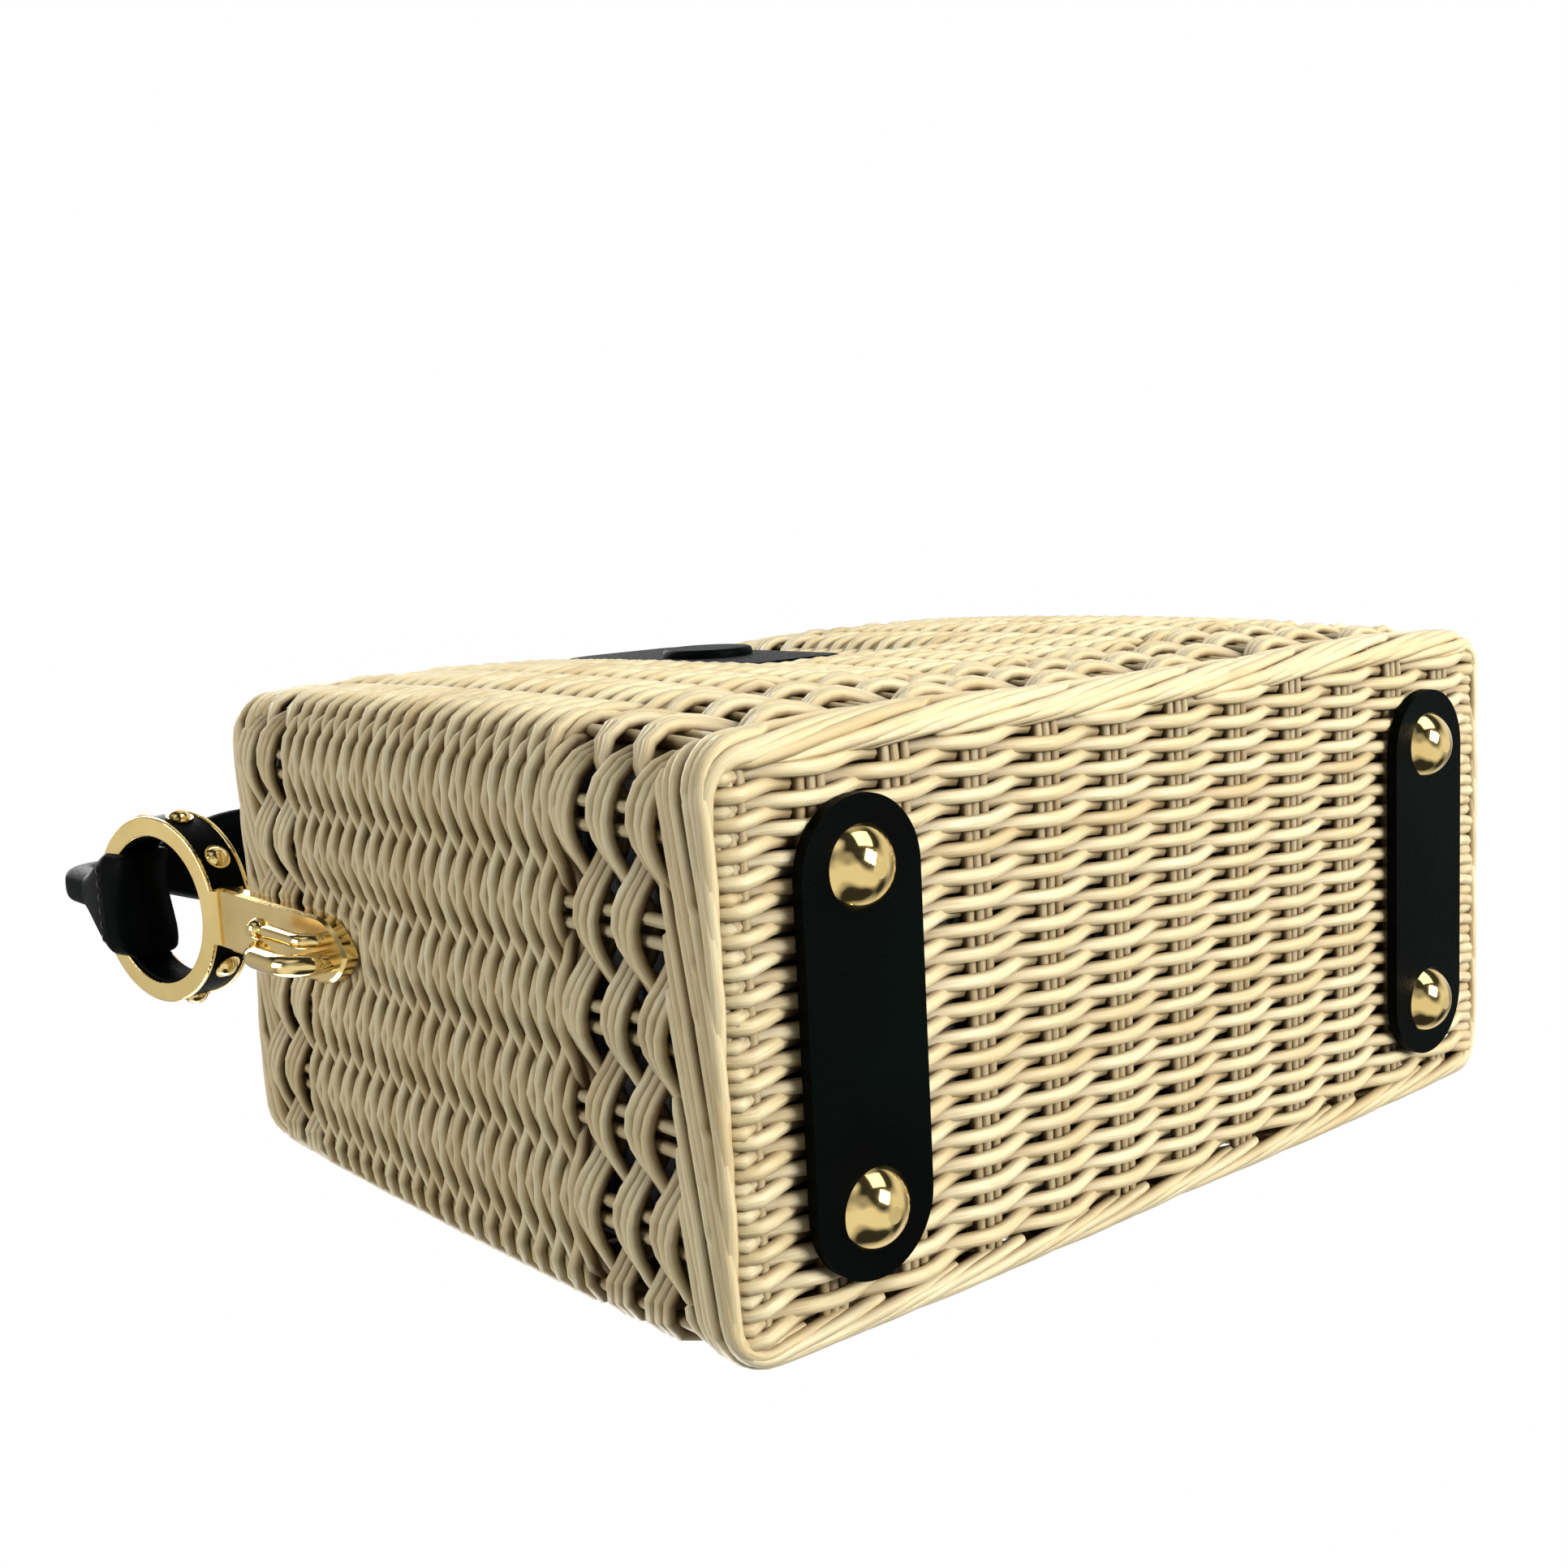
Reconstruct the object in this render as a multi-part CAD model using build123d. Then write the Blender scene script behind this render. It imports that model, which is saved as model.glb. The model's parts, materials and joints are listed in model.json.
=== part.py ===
from build123d import *
import os
from math import cos, radians, sin, sqrt

# Rattan box bag. Millimetres. X is the width, -Y the front, +Z up.
# The origin is on the floor, under the middle of the bag.
# The left side (-X) is modelled first and the right side is its mirror image.

# Woven basket
basket_width = 240.0
basket_depth = 107.0
basket_base = 7.0  # underside above the floor
basket_rim = 197.0  # top of the rim above the floor
wall = 6.5
corner_radius = 14.0
base_edge_radius = 6.0
rim_shelf = 16.0  # how far the end borders reach in under the lid
rim_thickness = 7.0

# Fabric lining
lining_gap = 0.3
lining_thickness = 1.2

# Lid
lid_end_margin = 13.0  # from the basket's end to the lid's end, clear of the rings
lid_thickness = 6.5
lid_gap = 0.3
lid_corner_radius = 10.0
lid_lining_thickness = 1.0
lid_lining_margin = 2.0

# Feet
foot_end_distance = 29.0
foot_side_distance = 22.5
foot_dome_radius = 7.75
foot_dome_height = 4.5
foot_flat_radius = 1.6
foot_shank_radius = 1.5
foot_head_radius = 2.6
foot_head_height = 0.8
foot_washer_radius = 6.0
foot_washer_thickness = 1.0
strip_end_margin = 13.0  # from a foot's centre to the strip's rounded end
strip_width = 28.0

# Side brackets
plate_width = 15.6
plate_thickness = 3.4
plate_drop = 57.0  # from the rim to the plate's tip
plate_point = 13.0  # length of the plate's pointed end
plate_bevel = 0.7
plate_overlap = 1.4  # how far the plate runs up behind the ring's outer flange
ring_stand_out = 6.6  # outer rim's centre beyond the plate's face
ring_gap = 10.8  # from the basket's rim to the ring's lowest point, along the ring
ring_tilt = 13.6
ring_outer_radius = 24.2
ring_bore_radius = 19.1
ring_width = 12.0
ring_flange = 1.2
ring_sleeve = 1.3
ring_edge_radius = 0.4
ring_neck_depth = 8.0

# Leather band and studs on each ring
band_gap = 0.15
band_recess = 0.45  # band's face below the flanges' edges
stud_angles = (36.0, 77.0, 118.0)  # from the lowest point, each way
stud_radius = 3.4
stud_height = 2.4
stud_flange = 0.5
stud_shank_radius = 0.9
stud_stand_off = 0.05

# Strap hooks: a thick bar that bows away from the plate, and a springy keeper beside it
hook_root_rise = 7.0  # above the plate's tip
hook_side = 1.4  # behind the plate's middle
hook_rod_radius = 2.6
hook_reach = 10.0  # rod's centre line beyond the plate
hook_bend = 7.0
hook_straight = 9.0
hook_curl_radius = 8.0
hook_curl_angle = 52.0
hook_peg_radius = 1.5
hook_peg_length = 2.4
keeper_root_rise = 8.5
keeper_side = 3.4  # in front of the plate's middle
keeper_rod_radius = 1.8
keeper_reach = 5.6
keeper_bend = 4.0
keeper_straight = 13.5
keeper_neck_radius = 1.2
keeper_neck_length = 5.8
keeper_ball_radius = 2.6
keeper_peg_radius = 1.1

# Bracket screws, from inside the basket
screw_drops = (32.0, 13.0)  # below the rim
screw_radius = 1.5
screw_engagement = 2.4
screw_head_radius = 3.0
screw_head_height = 1.6

# Leather handle
tab_width = 28.0
leather_thickness = 2.2
tab_gap = 0.3
bell_height = 15.8  # from the ring's outer radius to the neck
bell_root_depth = 3.0  # how far the bell is let into the loop
bell_root_inset = 0.6
bell_side_rise = 2.0  # straight side above the ring before the bell narrows
leg_overlap = 6.0  # how far each leg reaches down into its bell
neck_inset = 0.5  # neck's centre line inside the ring's outer rim
neck_thickness = 9.0
neck_width = 9.5
neck_height = 25.0  # from the bell to the grip's top
grip_thickness = 10.0
grip_width = 28.0
grip_neck_run = 11.5  # flat neck beside each bend
grip_flare = 36.0  # from the neck's width to the grip's
grip_bend_radius = 8.0
grip_inner_bend_radius = 3.0

# Closure
closure_width = 38.0
closure_thickness = 2.4
closure_top_length = 32.0
closure_drop = 70.0  # from the rim to the tab's end
closure_gap = 0.3
button_drop = 34.0
button_radius = 12.0
button_thickness = 2.0
magnet_radius = 7.0
magnet_thickness = 1.6
rivet_spacing = 20.0
rivet_setback = 20.0
rivet_radius = 1.2
rivet_head_radius = 3.0
rivet_head_height = 1.2

# Hinges
hinge_end_distance = 58.0
hinge_width = 26.0
hinge_leaf = 1.4
hinge_leaf_height = 17.0
knuckle_radius = 2.2
knuckle_clearance = 0.3
pin_radius = 1.0
pin_running_gap = 0.05
axis_below_rim = 1.0
hinge_rivet_x = 8.0
hinge_rivet_drop = 11.0
hinge_rivet_end_gap = 0.5  # wicker left behind each rivet's end
hinge_rivet_head_radius = 2.2
hinge_rivet_head_height = 0.9

# General clearance round a shank in its hole
hole_gap = 0.1

# Worked out from the values above
half_width = basket_width / 2
half_depth = basket_depth / 2
lid_width = basket_width - 2 * lid_end_margin
foot_x = half_width - foot_end_distance
foot_y = half_depth - foot_side_distance
strip_length = 2 * (foot_y + strip_end_margin)
floor_top = basket_base + wall
lining_half_width = half_width - wall - lining_gap
lining_half_depth = half_depth - wall - lining_gap
lining_base = floor_top + lining_gap
lining_floor = lining_base + lining_thickness
shelf_under = basket_rim - rim_thickness
lid_base = basket_rim + lid_gap
lid_top = lid_base + lid_thickness
mouth_half_width = half_width - rim_shelf
mouth_half_depth = half_depth - wall
strip_thickness = basket_base - foot_dome_height
plate_face_x = half_width + plate_thickness
plate_tip_z = basket_rim - plate_drop
plate_shoulder_z = plate_tip_z + plate_point
band_thickness = ring_outer_radius - ring_bore_radius - ring_sleeve - band_gap - band_recess
ring_rim_x = plate_face_x + ring_stand_out
ring_rim_z = basket_rim + ring_gap + ring_outer_radius
hook_root_z = plate_tip_z + hook_root_rise
keeper_root_z = plate_tip_z + keeper_root_rise
screw_heights = [basket_rim - drop for drop in screw_drops]
neck_x = ring_rim_x - neck_inset
bell_top_z = ring_rim_z + ring_outer_radius + bell_height
grip_top_z = bell_top_z + neck_height
grip_neck_x = neck_x - grip_neck_run
grip_shoulder_x = grip_neck_x - grip_flare
closure_end_z = basket_rim - closure_drop
button_z = basket_rim - button_drop
hinge_x = half_width - hinge_end_distance
hinge_rivet_depth = wall - hinge_rivet_end_gap
hinge_axis_y = half_depth + knuckle_radius + knuckle_clearance
hinge_axis_z = basket_rim - axis_below_rim
button_front_y = half_depth + closure_gap + closure_thickness + button_thickness

BOTTOM = (Align.CENTER, Align.CENTER, Align.MIN)


def block(x0, x1, y0, y1, z0, z1):
    """A plain box between two corners."""
    return Pos(x0, y0, z0) * Box(x1 - x0, y1 - y0, z1 - z0, align=(Align.MIN,) * 3)


def rod(radius, start, end):
    """A round rod from one point to another."""
    run = Vector(*end) - Vector(*start)
    plane = Plane(origin=start, z_dir=run)
    return plane * Cylinder(radius, run.length, align=BOTTOM)


def dome(radius, height, flat_radius=0.0):
    """A spherical cap standing on z = 0, with a flat of the given radius at its top."""
    centre_z = (flat_radius**2 + height**2 - radius**2) / (2 * height)
    ball = Pos(0, 0, centre_z) * Sphere(sqrt(radius**2 + centre_z**2))
    return ball & block(-radius, radius, -radius, radius, 0, height)


def mirrored(shape):
    """The same shape on the other side of the bag."""
    return mirror(shape, about=Plane.YZ)


def write(node, shape):
    """Write one node's STEP file."""
    shape.label = node
    export_step(shape, f"parts/{node}.step")


def ring_frame():
    """The left ring's own frame: origin at the outer rim's centre, z along the bore, inwards."""
    tilt = radians(ring_tilt)
    return Plane(
        origin=(-ring_rim_x, 0, ring_rim_z),
        x_dir=(-sin(tilt), 0, cos(tilt)),
        z_dir=(cos(tilt), 0, sin(tilt)),
    )


def annulus(inner, outer, low, high):
    """A ring about the left ring's bore, between two radii and two places along it."""
    solid = Cylinder(outer, high - low, align=BOTTOM) - Cylinder(inner, high - low, align=BOTTOM)
    return ring_frame() * Pos(0, 0, low) * solid


def shank_hole(radius, start, end):
    """The clearance hole for a shank."""
    return rod(radius + hole_gap, start, end)


def foot_places():
    """Each foot's name and place."""
    for x_name, x in (("left", -foot_x), ("right", foot_x)):
        for y_name, y in (("front", -foot_y), ("rear", foot_y)):
            yield f"{y_name}_{x_name}_foot", x, y


def hinge_places():
    """Each hinge's name and place along X."""
    return (("left", -hinge_x), ("right", hinge_x))


def all_foot_holes():
    """Holes for the four foot shanks through strip, basket and lining."""
    low = foot_dome_height - 1
    high = lining_floor + foot_washer_thickness + 1
    return [shank_hole(foot_shank_radius, (x, y, low), (x, y, high)) for _, x, y in foot_places()]


def left_screw_holes():
    """Holes for the left bracket's screws, from the lining to their depth in the plate."""
    x_in = -(lining_half_width - lining_thickness - 1)
    x_out = -(half_width + screw_engagement + hole_gap)
    return [shank_hole(screw_radius, (x_in, 0, z), (x_out, 0, z)) for z in screw_heights]


def body_rivet_axes():
    """Centre lines of the rivets that hold the hinges' fixed leaves."""
    z = hinge_axis_z - hinge_rivet_drop
    for _, x in hinge_places():
        for side in (-1, 1):
            yield x + side * hinge_rivet_x, z


def lid_rivet_axes():
    """Centre lines of the rivets that hold the hinges' moving leaves."""
    z = lid_base + lid_thickness / 2
    for _, x in hinge_places():
        for side in (-1, 1):
            yield x + side * hinge_rivet_x, z


def closure_rivet_axes():
    """Centre lines of the rivets that hold the closure tab on the lid."""
    y = -half_depth + rivet_setback
    return ((-rivet_spacing / 2, y), (rivet_spacing / 2, y))


# ---------------------------------------------------------------- basket


def basket_body():
    """The woven box, open at the top, with the end borders that the lid rests on."""
    outer = block(-half_width, half_width, -half_depth, half_depth, basket_base, basket_rim)
    outer = fillet(outer.edges().filter_by(Axis.Z), corner_radius)
    outer = fillet(outer.edges().group_by(Axis.Z)[0], base_edge_radius)
    hollow = block(
        -half_width + wall, half_width - wall, -half_depth + wall, half_depth - wall, floor_top, shelf_under
    )
    hollow = fillet(hollow.edges().filter_by(Axis.Z), corner_radius - wall)
    w, d = mouth_half_width, mouth_half_depth
    mouth = block(-w, w, -d, d, shelf_under - 1, basket_rim + 1)
    body = outer - hollow - mouth
    for hole in all_foot_holes() + left_screw_holes():
        body -= hole
    for hole in left_screw_holes():
        body -= mirrored(hole)
    for x, z in body_rivet_axes():
        body -= shank_hole(rivet_radius, (x, half_depth + 1, z), (x, half_depth - hinge_rivet_depth, z))
    body -= magnet_pocket()
    return body


def magnet_pocket():
    """The pocket in the front wall for the fixed magnet."""
    depth = magnet_thickness + hole_gap
    return rod(magnet_radius + hole_gap, (0, -half_depth - 1, button_z), (0, -half_depth + depth, button_z))


def lining():
    """The fabric lining, up to the underside of the end borders."""
    w, d, t = lining_half_width, lining_half_depth, lining_thickness
    top = shelf_under - lining_gap
    outer = block(-w, w, -d, d, lining_base, top)
    outer = fillet(outer.edges().filter_by(Axis.Z), corner_radius - wall - lining_gap)
    inner = block(-w + t, w - t, -d + t, d - t, lining_floor, top + 1)
    inner = fillet(inner.edges().filter_by(Axis.Z), corner_radius - wall - lining_gap - t)
    bag = outer - inner
    for hole in all_foot_holes() + left_screw_holes():
        bag -= hole
    for hole in left_screw_holes():
        bag -= mirrored(hole)
    return bag


# ---------------------------------------------------------------- feet


def foot(x, y):
    """A dome-headed rivet: the dome stands on the floor and the shank is peened inside."""
    cap = Plane(origin=(x, y, foot_dome_height), z_dir=(0, 0, -1)) * dome(
        foot_dome_radius, foot_dome_height, foot_flat_radius
    )
    head_z = lining_floor + foot_washer_thickness
    shank = rod(foot_shank_radius, (x, y, foot_dome_height - 0.5), (x, y, head_z + foot_head_height / 2))
    head = rod(foot_head_radius, (x, y, head_z), (x, y, head_z + foot_head_height))
    return cap + shank + head


def foot_washer(x, y):
    """The washer under a foot's peened head."""
    disc = rod(foot_washer_radius, (x, y, lining_floor), (x, y, lining_floor + foot_washer_thickness))
    return disc - shank_hole(foot_shank_radius, (x, y, lining_floor - 1), (x, y, lining_floor + 3))


def foot_strip(x):
    """The leather strip under one end of the basket, with its two foot holes."""
    outline = Pos(x, 0, foot_dome_height) * Rot(0, 0, 90) * SlotOverall(strip_length, strip_width)
    strip = extrude(outline, strip_thickness)
    for hole in all_foot_holes():
        strip -= hole
    return strip


# ---------------------------------------------------------------- brackets


def plate_outline():
    """The plate's outline, drawn on a plane whose x is the bag's Y and whose y is its Z."""
    half = plate_width / 2
    top = ring_rim_z - ring_outer_radius
    bulge_y = half * 0.68
    bulge_z = plate_tip_z + (plate_shoulder_z - plate_tip_z) * 0.4
    edges = [
        Line((-half, top), (half, top)),
        Line((half, top), (half, plate_shoulder_z)),
        ThreePointArc((half, plate_shoulder_z), (bulge_y, bulge_z), (0, plate_tip_z)),
        ThreePointArc((0, plate_tip_z), (-bulge_y, bulge_z), (-half, plate_shoulder_z)),
        Line((-half, plate_shoulder_z), (-half, top)),
    ]
    return make_face(Curve() + edges)


def ring_spool():
    """The ring casting: a sleeve with a flange at each end, all edges eased."""
    sleeve_radius = ring_bore_radius + ring_sleeve
    profile = [
        (ring_bore_radius, 0),
        (ring_outer_radius, 0),
        (ring_outer_radius, ring_flange),
        (sleeve_radius, ring_flange),
        (sleeve_radius, ring_width - ring_flange),
        (ring_outer_radius, ring_width - ring_flange),
        (ring_outer_radius, ring_width),
        (ring_bore_radius, ring_width),
    ]
    face = Plane.XZ * make_face(Polyline(*profile, close=True))
    eased = [v for v in face.vertices() if abs(v.X - sleeve_radius) > 0.01]
    face = fillet(eased, ring_edge_radius)
    return ring_frame() * revolve(face, Axis.Z)


def ring_neck(gap=0.0):
    """The block that ties the plate's top to the ring's sleeve through the band."""
    half = plate_width / 2 - 1 + gap
    low = ring_bore_radius + ring_sleeve / 2
    high = ring_outer_radius + 2
    solid = block(-high, -low, -half, half, 0, ring_neck_depth + gap)
    return ring_frame() * solid


def peg(radius, y, z, gap=0.0):
    """A peg that enters the left plate's face, or with a gap the hole that takes it."""
    return rod(radius + gap, (-plate_face_x - 1, y, z), (-plate_face_x + hook_peg_length + gap, y, z))


def left_bracket():
    """The left bracket: plate and ring in one casting, with the hook's and screws' holes."""
    plane = Plane(origin=(-half_width, 0, 0), x_dir=(0, -1, 0), z_dir=(-1, 0, 0))
    plate = extrude(plane * plate_outline(), plate_thickness)
    outer_edges = plate.faces().sort_by(Axis.X)[0].edges()
    below_ring = ring_rim_z - ring_outer_radius - 1
    plate = chamfer([e for e in outer_edges if e.center().Z < below_ring], plate_bevel)
    neck = ring_neck() & block(-half_width - plate_thickness - 2, 0, -50, 50, 0, 400)
    web_half = plate_width / 2 - plate_bevel
    web_top = ring_rim_z - ring_outer_radius + plate_overlap
    web = block(-plate_face_x, -half_width, -web_half, web_half, plate_shoulder_z, web_top)
    bracket = plate + web + neck + ring_spool()
    for hole in left_screw_holes():
        bracket -= hole
    bracket -= peg(hook_peg_radius, hook_side, hook_root_z, hole_gap)
    bracket -= peg(keeper_peg_radius, -keeper_side, keeper_root_z, hole_gap)
    return bracket


def left_ring_band():
    """The leather band between the ring's flanges, cut away where the neck passes."""
    inner = ring_bore_radius + ring_sleeve + band_gap
    margin = ring_flange + band_gap
    band = annulus(inner, inner + band_thickness, margin, ring_width - margin)
    band -= ring_neck(band_gap)
    hole = Cylinder(stud_shank_radius + hole_gap, band_thickness + 2, align=BOTTOM)
    for place in stud_places():
        band -= place * Pos(0, 0, -band_thickness - 1) * hole
    return band


def stud_places():
    """A frame for each stud of the left ring: origin on the band, z pointing away from the bore."""
    surface = ring_bore_radius + ring_sleeve + band_gap + band_thickness
    for angle in stud_angles:
        for side in (-1, 1):
            turn = radians(180 + side * angle)
            outward = (cos(turn), sin(turn), 0)
            origin = (surface * outward[0], surface * outward[1], ring_width / 2)
            local = Plane(origin=origin, x_dir=(0, 0, 1), z_dir=outward)
            yield ring_frame() * local


def left_ring_studs():
    """The group of dome-headed studs that pin the band to the ring."""
    studs = []
    depth = band_thickness + stud_flange / 2
    for place in stud_places():
        head = Cylinder(stud_radius, stud_flange, align=BOTTOM)
        cap = Pos(0, 0, stud_flange) * dome(stud_radius - stud_flange, stud_height - stud_flange)
        shank = Pos(0, 0, -band_thickness) * Cylinder(stud_shank_radius, depth, align=BOTTOM)
        studs.append(place * Pos(0, 0, stud_stand_off) * (head + cap + shank))
    return Compound(children=studs)


def left_bracket_screws():
    """The two screws that hold the left bracket, driven from inside the lining."""
    inside = -(lining_half_width - lining_thickness)
    screws = []
    for z in screw_heights:
        shank = rod(screw_radius, (inside, 0, z), (-(half_width + screw_engagement), 0, z))
        head = rod(screw_head_radius, (inside + screw_head_height, 0, z), (inside, 0, z))
        slot = block(
            inside + screw_head_height * 0.5, inside + screw_head_height + 1, -0.4, 0.4, z - 3.5, z + 3.5
        )
        screws.append(shank + head - slot)
    return Compound(children=screws)


def bar_centre_line(y, root_z, line_x, bend):
    """A bar's centre line where it leaves the left plate and turns upwards."""
    knee_x = line_x + bend
    mid = bend * (1 - cos(radians(45)))
    return [
        Line((-plate_face_x, y, root_z), (knee_x, y, root_z)),
        ThreePointArc((knee_x, y, root_z), (line_x + mid, y, root_z + mid), (line_x, y, root_z + bend)),
    ]


def left_hook():
    """The left strap hook: a round bar that bows away from the plate and curls back to it."""
    line_x = -plate_face_x - hook_reach
    low_z = hook_root_z + hook_bend
    top_z = low_z + hook_straight
    centre_x = line_x + hook_curl_radius
    curl = radians(hook_curl_angle)
    half, full = [
        (centre_x - hook_curl_radius * cos(a), hook_side, top_z + hook_curl_radius * sin(a))
        for a in (curl / 2, curl)
    ]
    path = Curve() + [
        *bar_centre_line(hook_side, hook_root_z, line_x, hook_bend),
        Line((line_x, hook_side, low_z), (line_x, hook_side, top_z)),
        ThreePointArc((line_x, hook_side, top_z), half, full),
    ]
    start = Plane(origin=(-plate_face_x, hook_side, hook_root_z), z_dir=(-1, 0, 0))
    bar = sweep(start * Circle(hook_rod_radius), path=path)
    tip = Pos(*full) * Sphere(hook_rod_radius)
    return bar + tip + peg(hook_peg_radius, hook_side, hook_root_z)


def left_hook_keeper():
    """The springy keeper beside the hook: a slim bar with a ball on a neck at its end."""
    y = -keeper_side
    line_x = -plate_face_x - keeper_reach
    low_z = keeper_root_z + keeper_bend
    top_z = low_z + keeper_straight
    path = Curve() + [
        *bar_centre_line(y, keeper_root_z, line_x, keeper_bend),
        Line((line_x, y, low_z), (line_x, y, top_z)),
    ]
    start = Plane(origin=(-plate_face_x, y, keeper_root_z), z_dir=(-1, 0, 0))
    bar = sweep(start * Circle(keeper_rod_radius), path=path)
    neck = rod(keeper_neck_radius, (line_x, y, top_z - 1), (line_x, y, top_z + keeper_neck_length))
    ball = Pos(line_x, y, top_z + keeper_neck_length) * Sphere(keeper_ball_radius)
    return bar + neck + ball + peg(keeper_peg_radius, y, keeper_root_z)


# ---------------------------------------------------------------- handle


def handle_side_profile():
    """The handle seen from the front: two legs and the grip."""
    outer = neck_x + neck_thickness / 2
    inner = neck_x - neck_thickness / 2
    under = grip_top_z - grip_thickness
    leg_end_z = bell_top_z - leg_overlap
    points = [
        (-outer, leg_end_z),
        (-outer, grip_top_z),
        (outer, grip_top_z),
        (outer, leg_end_z),
        (inner, leg_end_z),
        (inner, under),
        (-inner, under),
        (-inner, leg_end_z),
    ]
    face = make_face(Polyline(*points, close=True))
    top_corners = [v for v in face.vertices() if v.Y > grip_top_z - 1]
    face = fillet(top_corners, grip_bend_radius)
    under_corners = [v for v in face.vertices() if abs(v.Y - under) < 0.01 and abs(abs(v.X) - inner) < 0.01]
    return fillet(under_corners, grip_inner_bend_radius)


def handle_grip():
    """The grip and its two necks, as wide as the leather is at each place."""
    body = extrude(Plane.XZ * handle_side_profile(), grip_width, both=True)
    half_neck = neck_width / 2
    half_grip = grip_width / 2
    reach = neck_x + neck_thickness
    flare = (grip_shoulder_x + grip_neck_x) / 2
    middle = (half_neck + half_grip) / 2
    edges = []
    for side in (-1, 1):
        edges.append(Line((side * reach, -half_neck), (side * reach, half_neck)))
        edges.append(Line((-grip_shoulder_x, side * half_grip), (grip_shoulder_x, side * half_grip)))
        for end in (-1, 1):
            edges.append(Line((end * reach, side * half_neck), (end * grip_neck_x, side * half_neck)))
            edges.append(
                Spline(
                    (end * grip_neck_x, side * half_neck),
                    (end * flare, side * middle),
                    (end * grip_shoulder_x, side * half_grip),
                    tangents=((-end, 0), (-end, 0)),
                )
            )
    plan = make_face(Curve() + edges)
    grip_mask = extrude(Pos(0, 0, grip_top_z - grip_thickness - 4) * plan, grip_thickness + 8)
    leg_mask = block(-reach, -grip_neck_x, -half_neck, half_neck, 250, grip_top_z)
    return body & (grip_mask + leg_mask + mirrored(leg_mask))


def left_tab():
    """The left end of the handle: a bell that folds round the ring's top and back on itself."""
    near = tab_gap + leather_thickness
    loop_in = ring_bore_radius - near
    loop_out = ring_outer_radius + near
    loop = annulus(loop_in, loop_out, -near, ring_width + near)
    half = tab_width / 2
    above = ring_frame() * block(0, loop_out + 1, -half, half, -near, ring_width + near)
    loop = loop & above
    tilt = radians(ring_tilt)
    root = loop_out - bell_root_depth
    root_x = -ring_rim_x - root * sin(tilt)
    root_z = ring_rim_z + root * cos(tilt)
    side = [
        (root_x - near * cos(tilt) + bell_root_inset, root_z),
        (-neck_x - neck_thickness / 2, bell_top_z),
        (-neck_x + neck_thickness / 2, bell_top_z),
        (root_x + (ring_width + near) * cos(tilt) - bell_root_inset, root_z),
    ]
    wedge = extrude(Plane.XZ * make_face(Polyline(*side, close=True)), tab_width, both=True)
    bell = wedge & bell_mask()
    hollow = annulus(
        ring_bore_radius - tab_gap, ring_outer_radius + tab_gap, -tab_gap, ring_width + tab_gap
    )
    return loop + bell - hollow


def bell_mask():
    """The bell's outline seen from the side, extruded through the left leg."""
    half_neck = neck_width / 2
    half_tab = tab_width / 2
    base = ring_rim_z + ring_outer_radius - tab_width / 3
    shoulder = ring_rim_z + ring_outer_radius + bell_side_rise
    waist = (half_neck + half_tab) / 2
    edges = []
    for side in (-1, 1):
        edges.append(Line((side * half_tab, base), (side * half_tab, shoulder)))
        edges.append(
            Spline(
                (side * half_tab, shoulder),
                (side * waist, (shoulder + bell_top_z) / 2),
                (side * half_neck, bell_top_z),
                tangents=((0, 1), (0, 1)),
            )
        )
    edges.append(Line((-half_tab, base), (half_tab, base)))
    edges.append(Line((-half_neck, bell_top_z), (half_neck, bell_top_z)))
    plane = Plane(origin=(-neck_x, 0, 0), x_dir=(0, -1, 0), z_dir=(-1, 0, 0))
    return extrude(plane * make_face(Curve() + edges), 20, both=True)


def handle():
    """The whole leather handle."""
    tab = left_tab()
    return handle_grip() + tab + mirrored(tab)


# ---------------------------------------------------------------- lid and closure


def basket_lid():
    """The woven lid, which rests on the rim and on the end borders."""
    half = lid_width / 2
    lid = block(-half, half, -half_depth, half_depth, lid_base, lid_top)
    lid = fillet(lid.edges().filter_by(Axis.Z), lid_corner_radius)
    for x, y in closure_rivet_axes():
        lid -= shank_hole(rivet_radius, (x, y, lid_base - 1), (x, y, lid_top + 1))
    for x, z in lid_rivet_axes():
        lid -= shank_hole(rivet_radius, (x, half_depth + 1, z), (x, half_depth - hinge_rivet_depth, z))
    return lid


def lid_lining():
    """The fabric panel under the lid, which drops inside the mouth."""
    w = mouth_half_width - lid_lining_margin
    d = mouth_half_depth - lid_lining_margin
    panel = block(-w, w, -d, d, lid_base - lid_lining_thickness, lid_base)
    panel = fillet(panel.edges().filter_by(Axis.Z), lid_lining_margin * 2)
    for x, y in closure_rivet_axes():
        panel -= shank_hole(rivet_radius, (x, y, lid_base - 3), (x, y, lid_top))
    return panel


def closure_tab():
    """The leather tab, from the lid's top over its front edge and down the front."""
    half = closure_width / 2
    back_y = -half_depth + closure_top_length
    inside_y = -half_depth - closure_gap
    outside_y = inside_y - closure_thickness
    top = lid_top + closure_thickness
    lying = block(-half, half, outside_y, back_y, lid_top, top)
    hanging = block(-half, half, outside_y, inside_y, closure_end_z + half, top)
    end = rod(half, (0, inside_y, closure_end_z + half), (0, outside_y, closure_end_z + half))
    tab = lying + hanging + end
    front_edges = [e for e in tab.edges().filter_by(Axis.X) if e.center().Y < inside_y - 1]
    folds = [e for e in front_edges if e.center().Z > lid_top]
    tab = fillet(folds, closure_thickness * 0.8)
    for x, y in closure_rivet_axes():
        tab -= shank_hole(rivet_radius, (x, y, lid_base), (x, y, top + 1))
    depth = magnet_thickness + hole_gap
    return tab - rod(magnet_radius + hole_gap, (0, inside_y + 1, button_z), (0, inside_y - depth, button_z))


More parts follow.
